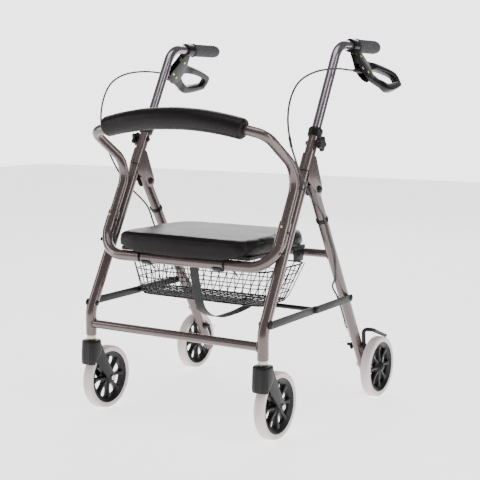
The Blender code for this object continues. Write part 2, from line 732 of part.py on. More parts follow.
def caster_fork(label, side, carrier):
    x = side * TRACK
    centre = Vector((x, CASTER_TRAIL, WHEEL_R))
    half = fork_half()
    head = FORK_HEAD_R
    chamfer = 0.003
    outline = [(-head, FORK_TOP_Z - 0.056), (-head, FORK_TOP_Z - chamfer), (-head + chamfer, FORK_TOP_Z),
               (head - chamfer, FORK_TOP_Z), (head, FORK_TOP_Z - chamfer), (head + 0.004, FORK_TOP_Z - 0.028)]
    for step in range(6):
        angle = math.radians(50 - step * 38)
        outline.append((CASTER_TRAIL + FORK_EYE_R * math.cos(angle), WHEEL_R + FORK_EYE_R * math.sin(angle)))
    outline += [(0.018, WHEEL_R + 0.020), (-0.010, WHEEL_R + 0.038)]
    body = plate_mesh("fork", outline, (x, 0, 0), (0, 1, 0), (0, 0, 1), 2 * half)
    item = piece(f"caster_fork_{label}", body, carrier, BLACK)
    void = cylinder_mesh("void", centre - Vector((half - FORK_ARM, 0, 0)),
                         centre + Vector((half - FORK_ARM, 0, 0)),
                         WHEEL_R + FORK_PLAY, 24)
    combine(item, "DIFFERENCE", tool(f"fork_void_{label}", void, carrier))
    above = 2 * FORK_TOP_Z
    barrel = cylinder_mesh("barrel", (x, 0, 0), (x, 0, above), head + 0.0028, 20)
    keep = tool(f"fork_barrel_{label}", barrel, carrier)
    arms = box_mesh("arms", (x - half, head / 2, 0), (x + half, above, above))
    combine(keep, "UNION", tool(f"fork_arms_{label}", arms, carrier))
    combine(item, "INTERSECT", keep)
    reach = Vector((half * 2, 0, 0))
    drill(item, "hole", centre - reach, centre + reach, AXLE_R + GAP)


# ---- rear frame ------------------------------------------------------------------------------
def rear_frame():
    carrier = pivot("rear_frame_fold", (0, HINGE_Y, HINGE_Z), ROOT)
    for label, side in SIDES:
        rear_leg(label, side, carrier)
        rear_axle(label, side, carrier)
        brake_arm(label, side, carrier)
        wheel(f"rear_wheel_{label}", Vector((side * REAR_TRACK, REAR_AXLE_Y, WHEEL_R)), carrier)
    rest = rear_point(1, SEAT_TUBE_Z)
    reach = TRACK - TUBE_WALL
    item = pipe("seat_rest_tube", [Vector((-reach, rest.y, rest.z)), Vector((reach, rest.y, rest.z))],
                CROSS_R,
                carrier, PAINT)
    for label, side in SIDES:
        middle = rear_point(side, SEAT_TUBE_Z)
        reach = REAR_DIR * CROSS_R * 5
        drill(item, f"cope_{label}", middle - reach, middle + reach, TUBE_R + GAP, 24)
    return carrier


def rear_leg(label, side, carrier):
    hinge = Vector((side * TRACK, HINGE_Y, HINGE_Z))
    axle = Vector((side * TRACK, REAR_AXLE_Y, WHEEL_R))
    item = pipe(f"rear_leg_{label}", [hinge - REAR_DIR * 0.018, axle + REAR_DIR * 0.016], TUBE_R, carrier,
                PAINT)
    through = Vector((TUBE_R * 2, 0, 0))
    for name, place, radius in (("hinge_hole", hinge, HINGE_PIN_R), ("axle_hole", axle, AXLE_R),
                                ("arm_hole", rear_point(side, BRAKE_ARM_Z), AXLE_R),
                                ("brace_hole", brace_pin(side, "rear"), PIN_R)):
        drill(item, name, place - through, place + through, radius + RUN, 10)


def rear_axle(label, side, carrier):
    start = Vector((side * (TRACK - TUBE_R - 0.0035), REAR_AXLE_Y, WHEEL_R))
    end = Vector((side * (REAR_TRACK + HUB_WIDTH / 2 + 0.0040), REAR_AXLE_Y, WHEEL_R))
    axle = piece(f"rear_axle_{label}", cylinder_mesh("axle", start, end, AXLE_R, 12), carrier, STEEL)
    sleeve_in = TRACK + TUBE_R + GAP
    sleeve_out = REAR_TRACK - HUB_WIDTH / 2 - RUN
    parts = [("head", TRACK - TUBE_R - 0.0048, TRACK - TUBE_R - GAP, NUT_R, 6),
             ("sleeve", sleeve_in, sleeve_out, NUT_R - GAP, 12),
             ("nut", REAR_TRACK + HUB_WIDTH / 2 + RUN, REAR_TRACK + HUB_WIDTH / 2 + 0.0050, NUT_R, 6)]
    for name, near, far, radius, sides in parts:
        mesh = cylinder_mesh(name, (side * near, REAR_AXLE_Y, WHEEL_R), (side * far, REAR_AXLE_Y, WHEEL_R),
                             radius,
                             sides)
        combine(axle, "UNION", tool(f"axle_{name}_{label}", mesh, carrier))


def brake_arm(label, side, carrier):
    """The bent arm that presses on the tyre, its shaft through the leg, and the crank for the wire."""
    middle = rear_point(side, BRAKE_ARM_Z)
    axis = pivot(f"brake_arm_{label}_axis", middle, carrier)
    out = Vector((side, 0, 0))
    leg_face = TUBE_R + GAP
    wheel_plane = REAR_TRACK - TRACK
    shaft = cylinder_mesh("shaft", middle - out * (leg_face + 0.016), middle + out * (leg_face + 0.004),
                          AXLE_R, 12)
    item = piece(f"brake_arm_{label}", shaft, axis, BLACK)
    boss = cylinder_mesh("boss", middle + out * leg_face, middle + out * (leg_face + 0.0075), 0.0095, 14)
    start = middle + out * (leg_face + 0.0045)
    clear = WHEEL_R + BRAKE_BAR_R + TYRE_CLEAR
    top_z = WHEEL_R + clear + 0.0148
    heel = Vector((start.x, middle.y - 0.004, top_z))
    corner = Vector((side * (TRACK + wheel_plane), heel.y + 0.006, top_z))
    lean = math.radians(34.5)
    tip = Vector((corner.x, REAR_AXLE_Y + clear * math.sin(lean), WHEEL_R + clear * math.cos(lean)))
    bar = swept_mesh("bar", rounded_path([start, heel, corner, tip], [0.010, 0.007], 3), BRAKE_BAR_R, 2, True)
    crank = cylinder_mesh("crank", middle - out * (leg_face + 0.0008), middle - out * (leg_face + 0.0048),
                          0.0075, 12)
    for name, mesh in (("boss", boss), ("bar", bar), ("crank", crank)):
        combine(item, "UNION", tool(f"arm_{name}_{label}", mesh, axis))


# ---- seat, basket and braces -----------------------------------------------------------------
def seat(basket_carrier):
    """The padded seat. It turns on the front tube's axis and lies on the rest tube."""
    tube_y = seat_tube_y()
    carrier = pivot("seat_flip", (0, tube_y, SEAT_TUBE_Z), basket_carrier)
    under = SEAT_TUBE_Z + TUBE_R + GAP
    rear = rear_y(SEAT_TUBE_Z) - SEAT_BACK_GAP
    margin = 0.012
    board = box_mesh("board", (-SEAT_HALF + margin, tube_y, under),
                     (SEAT_HALF - margin, rear - margin, under + SEAT_BOARD))
    bevel(piece("seat_board", board, carrier, BLACK), 0.0015, 1)
    base = under + SEAT_BOARD + GAP
    front = tube_y - SEAT_OVERHANG
    lip = tube_y - TUBE_R - 3 * GAP
    edge = SEAT_EDGE_R
    top = base + SEAT_PAD
    outline = [(front, under - SEAT_LIP + edge / 2), (front + edge / 3, under - SEAT_LIP),
               (lip, under - SEAT_LIP),
               (lip, base), (rear, base)]
    outline += [(rear, top - edge), (rear - edge * 0.3, top - edge * 0.3), (rear - edge, top),
                (front + edge, top),
                (front + edge * 0.3, top - edge * 0.3), (front, top - edge)]
    cushion = plate_mesh("cushion", outline, (0, 0, 0), (0, 1, 0), (0, 0, 1), 2 * SEAT_HALF)
    item = piece("seat_cushion", cushion, carrier, VINYL)
    bevel(item, 0.010, 2, 60.0)
    for label, side in SIDES:
        seat_clip(label, side, carrier, tube_y, under)


def seat_clip(label, side, carrier, tube_y, under):
    """A clip that holds the seat's front edge round the tube."""
    inner = TUBE_R + RUN
    outer = inner + CLIP_WALL
    x = side * SEAT_HALF * 0.52
    outline = []
    for radius, first, last in ((outer, 205, 345), (inner, 345, 205)):
        for step in range(9):
            angle = math.radians(first + (last - first) * step / 8)
            outline.append((tube_y + radius * math.cos(angle), SEAT_TUBE_Z + radius * math.sin(angle)))
    tab_y = tube_y + outer
    clip = plate_mesh("clip", outline, (x, 0, 0), (0, 1, 0), (0, 0, 1), CLIP_WIDTH)
    item = piece(f"seat_clip_{label}", clip, carrier, BLACK)
    half = CLIP_WIDTH / 2
    tab = box_mesh("tab", (x - half, tab_y - CLIP_WALL, SEAT_TUBE_Z - TUBE_R / 2),
                   (x + half, tab_y + GAP, under - GAP))
    combine(item, "UNION", tool(f"clip_tab_{label}", tab, carrier))


def lattice(name, corners, columns, rows, parent, inward):
    """A flat panel of crossing wires between four corners, thickened one wire towards the inside."""
    a, b, c, d = (Vector(corner) for corner in corners)
    shape = bmesh.new()
    grid = []
    for row in range(rows + 1):
        v = row / rows
        grid.append([shape.verts.new((a.lerp(b, u / columns)).lerp(d.lerp(c, u / columns), v))
                     for u in range(columns + 1)])
    for row in range(rows):
        for column in range(columns):
            shape.faces.new((grid[row][column], grid[row][column + 1], grid[row + 1][column + 1],
                             grid[row + 1][column]))
    shape.normal_update()
    cells = list(shape.faces)
    bmesh.ops.inset_individual(shape, faces=cells, thickness=WIRE / 2, use_even_offset=True)
    bmesh.ops.delete(shape, geom=cells, context="FACES")
    normal = (b - a).cross(d - a).normalized()
    if normal.dot(Vector(inward)) < 0:
        bmesh.ops.reverse_faces(shape, faces=shape.faces)
        normal = -normal
    mesh = bpy.data.meshes.new(name)
    shape.to_mesh(mesh)
    shape.free()
    item = settle(add_object(name, mesh, parent, WIRE_FINISH), parent)
    wall = item.modifiers.new("wire", "SOLIDIFY")
    wall.thickness = WIRE
    wall.offset = 1.0
    return item


def basket():
    carrier = pivot("basket_swing", (0, seat_tube_y(), SEAT_TUBE_Z), ROOT)
    rim = TRACK - BASKET_INSET
    floor = rim - BASKET_TAPER
    inset = 2 * WIRE
    rim_z = SEAT_TUBE_Z - BASKET_DROP
    floor_z = rim_z - BASKET_DEPTH
    front_y = seat_tube_y() + BASKET_FRONT_GAP
    rear_rim_y = rear_y(SEAT_TUBE_Z) - BASKET_REAR_GAP
    columns = round(2 * rim / BASKET_CELL)
    deep = round((rear_rim_y - front_y) / BASKET_CELL)
    tall = 2
    front_top = (front_y, rim_z)
    front_low = (front_y + BASKET_FRONT_SLANT, floor_z)
    rear_top = (rear_rim_y, rim_z)
    rear_low = (rear_rim_y - BASKET_REAR_SLANT, floor_z)
    lattice("basket_front",
            [(-rim + inset, *front_top), (rim - inset, *front_top), (floor - inset, *front_low),
                             (-floor + inset, *front_low)], columns, tall, carrier, (0, 1, 0))
    lattice("basket_back", [(-rim + inset, *rear_top), (rim - inset, *rear_top), (floor - inset, *rear_low),
                            (-floor + inset, *rear_low)], columns, tall, carrier, (0, -1, 0))
    for label, side in SIDES:
        lattice(f"basket_{label}",
                [(side * rim, *front_top), (side * rim, *rear_top), (side * floor, *rear_low),
                                    (side * floor, *front_low)], deep, tall, carrier, (-side, 0, 0))
    low = floor_z - GAP * 2
    lattice("basket_floor",
            [(-floor, front_low[0], low), (floor, front_low[0], low), (floor, rear_low[0], low),
                             (-floor, rear_low[0], low)], columns, deep - 1, carrier, (0, 0, -1))
    return carrier


def brace_line():
    """Front, middle and rear pivots of the side brace, as (y, z) vectors."""
    front = Vector((leg_y(BRACE_FRONT_Z), BRACE_FRONT_Z))
    rear = Vector((rear_y(BRACE_REAR_Z), BRACE_REAR_Z))
    middle = front + (rear - front).normalized() * BRACE_HALF_LENGTH
    return front, middle, rear


def braces(rear_carrier):
    """The two-piece side braces, and the bar under the basket that joins their middle pivots."""
    front, middle, rear = brace_line()
    front_axis = pivot("front_brace_fold", (0, front.x, front.y), ROOT)
    rear_axis = pivot("rear_brace_fold", (0, rear.x, rear.y), rear_carrier)
    inner_face = TRACK + TUBE_R + BRACE_PLAY
    outer_face = inner_face + BRACE_THICK + 2 * GAP
    for label, side in SIDES:
        layers = ((f"front_brace_{label}", front, middle, inner_face, front_axis, front),
                  (f"rear_brace_{label}", middle, rear, outer_face, rear_axis, rear))
        for name, start, end, face, axis, pin in layers:
            plane = side * (face + BRACE_THICK / 2)
            outline = slot_outline(start, end, BRACE_WIDTH / 2)
            bar = plate_mesh("bar", outline, (plane, 0, 0), (0, 1, 0), (0, 0, 1), BRACE_THICK)
            item = piece(name, bar, axis, BLACK)
            stud = cylinder_mesh("stud", (side * (TRACK - TUBE_R - 0.002), pin.x, pin.y),
                                 (side * (outer_face + BRACE_THICK + 0.0030), pin.x, pin.y), PIN_R, 10)
            head = cylinder_mesh("head", (side * (face + BRACE_THICK * 0.5), pin.x, pin.y),
                                 (side * (outer_face + BRACE_THICK + 0.0035), pin.x, pin.y), 0.0060, 12)
            combine(item, "UNION", tool(f"{name}_stud", stud, axis), tool(f"{name}_head", head, axis))
    reach = inner_face - GAP
    bar_path = [Vector((-reach, middle.x, middle.y)), Vector((reach, middle.x, middle.y))]
    rod("fold_bar", bar_path, FOLD_BAR_R, front_axis, BLACK)


def fold_strap():
    """The pull strap from under the seat's front, down past the basket and round the fold bar."""
    _, middle, _ = brace_line()
    tube_y = seat_tube_y()
    x = 0.045
    start = Vector((x - 0.030, tube_y + TUBE_R + 0.008, SEAT_TUBE_Z - 0.010))
    corners = [start, Vector((x - 0.026, 0.066, 0.330)), Vector((x - 0.014, 0.072, 0.270)),
               Vector((x + 0.004, 0.105, 0.247)), Vector((x + 0.018, 0.160, 0.249)),
               Vector((x + 0.026, middle.x - 0.002, middle.y - FOLD_BAR_R - 0.0045))]
    path = smooth_path(corners, 4)
    shape = bmesh.new()
    rings = []
    for index, point in enumerate(path):
        ahead = path[min(index + 1, len(path) - 1)] - path[max(index - 1, 0)]
        across = Vector((1, 0, 0))
        normal = ahead.cross(across).normalized()
        ring = []
        for a, b in ((-1, -1), (1, -1), (1, 1), (-1, 1)):
            ring.append(shape.verts.new(point + across * a * STRAP_WIDTH / 2 + normal * b * STRAP_THICK / 2))
        rings.append(ring)
    for low, high in zip(rings, rings[1:]):
        for corner in range(4):
            after = (corner + 1) % 4
            shape.faces.new((low[corner], low[after], high[after], high[corner]))
    shape.faces.new(rings[0])
    shape.faces.new(rings[-1][::-1])
    piece("fold_strap", from_bmesh("fold_strap", shape), ROOT, WEBBING)


def brake_cable(label, side):
    """The brake cable, from the housing's nose, in a free bow, past the hinge and down the rear leg."""
    pivot_y = brake_pivot_y()
    nose = brake_place(side, pivot_y - 0.0565, BRAKE_PIVOT_DROP - 0.008)
    beside = TRACK + TUBE_R + 0.0030
    corners = [nose, nose + Vector((-side * 0.001, -0.022, 0.0005)), Vector((side * 0.272, 0.262, 0.8160)),
               Vector((side * 0.266, 0.180, 0.8080)), Vector((side * 0.260, 0.118, 0.7870)),
               Vector((side * 0.257, 0.084, 0.7520)), Vector((side * 0.257, 0.071, 0.7060)),
               Vector((side * 0.258, 0.081, 0.6560)), Vector((side * 0.2585, 0.106, 0.6120)),
               Vector((side * 0.2585, 0.138, 0.5700)), Vector((side * (beside + 0.0022), 0.172, 0.5340))]
    for z in (0.480, 0.430, 0.380):
        corners.append(Vector((side * beside, rear_y(z) - 0.016, z)))
    corners.append(Vector((side * (TRACK + 0.003), rear_y(0.325) - 0.0215, 0.325)))
    corners.append(Vector((side * (TRACK - 0.0140), rear_y(0.298) - 0.0170, 0.298)))
    corners.append(Vector((side * (TRACK - TUBE_R - 0.0045), rear_y(0.270) - 0.003, 0.270)))
    for z in (0.240, 0.196):
        corners.append(Vector((side * (TRACK - TUBE_R - 0.0045), rear_y(z), z)))
    rod(f"brake_cable_{label}", smooth_path(corners, 3), CABLE_R, ROOT, RUBBER, roundness=1)


clear_scene()
PARTS = new_collection("rollator_walker")
HELPERS = new_collection("cutters")
ROOT = bpy.data.objects.new("rollator_root", None)
PARTS.objects.link(ROOT)
ROOT.location = (0.0, -CENTRE_Y, 0.0)

PAINT = material("taupe_paint", (0.155, 0.115, 0.108), 0.32, 0.75)
SILVER = material("silver_lilac_paint", (0.40, 0.37, 0.42), 0.25, 0.85)
BLACK = material("black_plastic", (0.012, 0.012, 0.013), 0.45)
VINYL = material("black_vinyl", (0.018, 0.016, 0.017), 0.38)
RUBBER = material("black_rubber", (0.010, 0.010, 0.011), 0.6)
TYRE = material("warm_grey_tyre", (0.52, 0.43, 0.41), 0.6)
STEEL = material("zinc_steel", (0.62, 0.62, 0.60), 0.3, 1.0)
WIRE_FINISH = material("coated_wire", (0.012, 0.012, 0.013), 0.35)
WEBBING = material("black_webbing", (0.014, 0.014, 0.015), 0.8)

front_frame()
for side_label, side_sign in SIDES:
    height_knob(side_label, side_sign)
    handle(side_label, side_sign)
    caster(side_label, side_sign)
REAR = rear_frame()
seat(basket())
braces(REAR)
fold_strap()
for side_label, side_sign in SIDES:
    brake_cable(side_label, side_sign)
bpy.context.view_layer.update()
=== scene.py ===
"""The visible rollator walker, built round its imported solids.

Metres, +Z up. The front, with the casters and the backrest, is -Y, and left is -X. Places come from the
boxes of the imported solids. Every new surface is a grid of points worked out with numpy from a formula.
"""

import logging
import math
from dataclasses import dataclass
from enum import Enum
from typing import Any, Sequence

import bpy
import numpy as np
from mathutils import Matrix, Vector
from mathutils.bvhtree import BVHTree


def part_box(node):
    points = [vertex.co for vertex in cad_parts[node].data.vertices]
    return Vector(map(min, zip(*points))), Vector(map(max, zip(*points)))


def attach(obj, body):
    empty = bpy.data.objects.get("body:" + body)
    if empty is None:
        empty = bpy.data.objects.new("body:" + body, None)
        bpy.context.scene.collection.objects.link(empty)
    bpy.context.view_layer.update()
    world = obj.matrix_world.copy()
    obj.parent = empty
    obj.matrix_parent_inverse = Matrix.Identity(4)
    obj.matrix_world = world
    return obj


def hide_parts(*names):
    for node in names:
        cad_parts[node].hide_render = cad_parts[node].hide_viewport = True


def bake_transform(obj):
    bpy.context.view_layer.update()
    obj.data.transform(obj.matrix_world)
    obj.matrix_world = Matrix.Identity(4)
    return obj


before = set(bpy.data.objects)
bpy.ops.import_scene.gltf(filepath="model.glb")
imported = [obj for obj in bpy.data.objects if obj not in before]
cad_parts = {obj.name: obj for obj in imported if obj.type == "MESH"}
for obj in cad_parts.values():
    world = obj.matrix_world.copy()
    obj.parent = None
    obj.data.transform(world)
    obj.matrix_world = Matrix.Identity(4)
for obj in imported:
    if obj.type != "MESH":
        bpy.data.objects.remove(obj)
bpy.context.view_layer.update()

LOG = logging.getLogger("rollator")
Array = np.ndarray
Points = Sequence[Sequence[float]]
X_AXIS = np.array([1.0, 0.0, 0.0])
Y_AXIS = np.array([0.0, 1.0, 0.0])
Z_AXIS = np.array([0.0, 0.0, 1.0])


class Side(Enum):
    """Left or right of the walker, with the sign of its X."""

    LEFT = -1
    RIGHT = 1

    @property
    def label(self) -> str:
        """The word used in names."""
        return self.name.lower()


class Slot(Enum):
    """The material slots of the record."""

    FRAME = "frame_paint"
    HANDLE = "handle_paint"
    GRIP = "grip_rubber"
    PLASTIC = "black_plastic"
    BLACK_STEEL = "black_steel"
    WIRE = "coated_wire"
    ZINC = "zinc_steel"
    VINYL = "vinyl"
    WEBBING = "webbing"
    SLEEVE = "cable_sleeve"
    TYRE = "tyre"


# ---- paths and sections ----------------------------------------------------------------------
def unit(vector: Sequence[float]) -> Array:
    """The vector at length one."""
    vector = np.asarray(vector, float)
    return vector / np.linalg.norm(vector)


def unit_rows(vectors: Array) -> Array:
    """Each row at length one."""
    return vectors / np.linalg.norm(vectors, axis=1, keepdims=True)


def centre_of(node: str) -> Array:
    """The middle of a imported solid's box."""
    low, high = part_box(node)
    return (np.array(low) + np.array(high)) / 2


def catmull(points: Points, steps: int = 8, closed: bool = False) -> Array:
    """A Catmull-Rom curve through the points.

    Args:
        points: the points it passes through.
        steps: samples for each span.
        closed: whether the curve returns to its first point.

    Returns:
        The samples, one row each. Each span is the cubic whose end slopes are half the chord between
        the neighbouring points.
    """
    knots = np.asarray(points, float)
    if closed:
        knots = np.vstack([knots[-1:], knots, knots[:2]])
    else:
        knots = np.vstack([2 * knots[0] - knots[1], knots, 2 * knots[-1] - knots[-2]])
    t = (np.arange(steps) / steps)[None, :, None]
    a, b, c, d = (knots[i:len(knots) - 3 + i, None, :] for i in range(4))
    spans = 0.5 * (2 * b + (c - a) * t + (2 * a - 5 * b + 4 * c - d) * t ** 2 + (3 * b - a - 3 * c + d) * t ** 3)
    curve = spans.reshape(-1, knots.shape[1])
    return curve if closed else np.vstack([curve, knots[-2]])


def rounded(corners: Points, radii: Sequence[float], step: float = 0.005) -> Array:
    """A path of straight runs with an arc of its own radius at each inner corner.

    Args:
        corners: first point, corners and last point.
        radii: one radius for each inner corner.
        step: spacing of the points on the arcs, and four times that on the runs.

    Returns:
        The points of the path.
    """
    corners = np.asarray(corners, float)
    runs = [corners[:1]]
    for before, corner, after, radius in zip(corners, corners[1:], corners[2:], radii):
        back, ahead = unit(before - corner), unit(after - corner)
        half = math.acos(np.clip(back @ ahead, -1, 1)) / 2
        middle = corner + unit(back + ahead) * radius / math.sin(half)
        start = corner + back * radius / math.tan(half) - middle
        turn = math.pi - 2 * half
        count = max(4, int(turn * radius / step))
        angle = np.linspace(0, turn, count)[:, None]
        runs.append(middle + start * np.cos(angle) + unit(-back) * np.linalg.norm(start) * np.sin(angle))
    runs.append(corners[-1:])
    return spaced(np.vstack(runs), 4 * step)


def spaced(path: Array, longest: float) -> Array:
    """The path with points added so that no run is longer than that."""
    gaps = np.linalg.norm(np.diff(path, axis=0), axis=1)
    path = path[np.append(True, gaps > 1e-7)]
    gaps = gaps[gaps > 1e-7]
    along = np.append(0, np.cumsum(gaps))
    counts = np.maximum(1, np.ceil(gaps / longest)).astype(int)
    stations = [np.linspace(a, b, n, endpoint=False) for a, b, n in zip(along, along[1:], counts)]
    stations = np.append(np.concatenate(stations), along[-1])
    return np.stack([np.interp(stations, along, path[:, axis]) for axis in range(path.shape[1])], axis=1)


def frames_along(path: Array, hint: Sequence[float] = (0.31, 0.17, 0.94)) -> tuple[Array, Array, Array]:
    """Tangents and two cross directions that turn as little as they can along a path.

    Args:
        path: the stations.
        hint: the direction that the first normal leans to.

    Returns:
        Tangents, normals and binormals. Each normal is the one before it, made square to the tangent.
    """
    tangents = unit_rows(np.gradient(path, axis=0))
    normals = np.empty_like(path)
    last = np.asarray(hint, float)
    for station, tangent in enumerate(tangents):
        last = unit(last - tangent * (last @ tangent))
        normals[station] = last
    return tangents, normals, np.cross(tangents, normals)


def loop_tangents(line: Array) -> Array:
    """The directions along a closed line, one row each."""
    return unit_rows(np.roll(line, -1, axis=0) - np.roll(line, 1, axis=0))


def turns(sides: int) -> Array:
    """Evenly spaced angles once round."""
    return np.arange(sides) * 2 * math.pi / sides


def ring(sides: int) -> tuple[Array, Array]:
    """Cosines and sines of evenly spaced angles once round."""
    return np.cos(turns(sides)), np.sin(turns(sides))


def oval(sides: int, power: float) -> tuple[Array, Array]:
    """A superellipse once round: each coordinate keeps its sign and is raised to 2 / power."""
    cosine, sine = ring(sides)
    return (np.sign(cosine) * np.abs(cosine) ** (2 / power), np.sign(sine) * np.abs(sine) ** (2 / power))


def circles(line: Array, radius: float | Array, first: Array, second: Array, sides: int) -> Array:
    """A circle at every station of a line.

    Args:
        line: the stations.
        radius: one for all, or one for each station.
        first: the cross direction that each circle starts from.
        second: the other cross direction.
        sides: points on a circle.

    Returns:
        Stations by points around by three.
    """
    cosine, sine = ring(sides)
    reach = np.broadcast_to(np.asarray(radius, float), (len(line),))[:, None, None]
    return line[:, None] + reach * (first[:, None] * cosine[:, None] + second[:, None] * sine[:, None])


def tube_grid(path: Array, radius: float | Array, sides: int = 20) -> Array:
    """A round section of that radius, which may vary by station, carried along the path."""
    _, normal, binormal = frames_along(path)
    return circles(path, radius, normal, binormal, sides)


def inset(outline: Array, depth: float) -> Array:
    """The flat outline moved inwards by the depth, square to its edges."""
    ahead = loop_tangents(outline)
    turned = outline[:, 0] * np.roll(outline[:, 1], -1) - outline[:, 1] * np.roll(outline[:, 0], -1)
    return outline + np.stack([-ahead[:, 1], ahead[:, 0]], axis=1) * depth * np.sign(turned.sum())


def stadium(start: Sequence[float], end: Sequence[float], radius: float, steps: int = 12) -> Array:
    """The outline of a bar with half-round ends between two flat points."""
    start, end = np.asarray(start, float), np.asarray(end, float)
    heading = math.atan2(*(end - start)[::-1])
    angle = np.linspace(-math.pi / 2, math.pi / 2, steps) + heading
    cap = np.stack([np.cos(angle), np.sin(angle)], axis=1) * radius
    return np.vstack([end + cap, start - cap])


# ---- meshes ----------------------------------------------------------------------------------
def quads_of(index: Array) -> Array:
    """The four corners of each cell in a table of point numbers."""
    return np.stack([index[:-1, :-1], index[:-1, 1:], index[1:, 1:], index[1:, :-1]], axis=-1).reshape(-1, 4)


def mesh_of(name: str, points: Array, corners: Array, sizes: Array) -> bpy.types.Mesh:
    """A new mesh.

    Args:
        name: its name.
        points: one row each.
        corners: the point numbers of every face, one face after another.
        sizes: how many corners each face has.

    Returns:
        The mesh, with its edges worked out.
    """
    mesh = bpy.data.meshes.new(name)
    mesh.vertices.add(len(points))
    mesh.vertices.foreach_set("co", points.astype(np.float32).ravel())
    mesh.loops.add(len(corners))
    mesh.loops.foreach_set("vertex_index", corners.astype(np.int32))
    mesh.polygons.add(len(sizes))
    mesh.polygons.foreach_set("loop_start", np.append(0, np.cumsum(sizes)[:-1]).astype(np.int32))
    mesh.update(calc_edges=True)
    mesh.validate()
    return mesh


def coordinates(mesh: bpy.types.Mesh) -> Array:
    """The mesh's points, one row each."""
    flat = np.empty(len(mesh.vertices) * 3, np.float32)
    mesh.vertices.foreach_get("co", flat)
    return flat.reshape(-1, 3).astype(float)


def move_points(mesh: bpy.types.Mesh, points: Array) -> None:
    """Moves the mesh's points to these, one row each."""
    mesh.vertices.foreach_set("co", points.astype(np.float32).ravel())
    mesh.update()


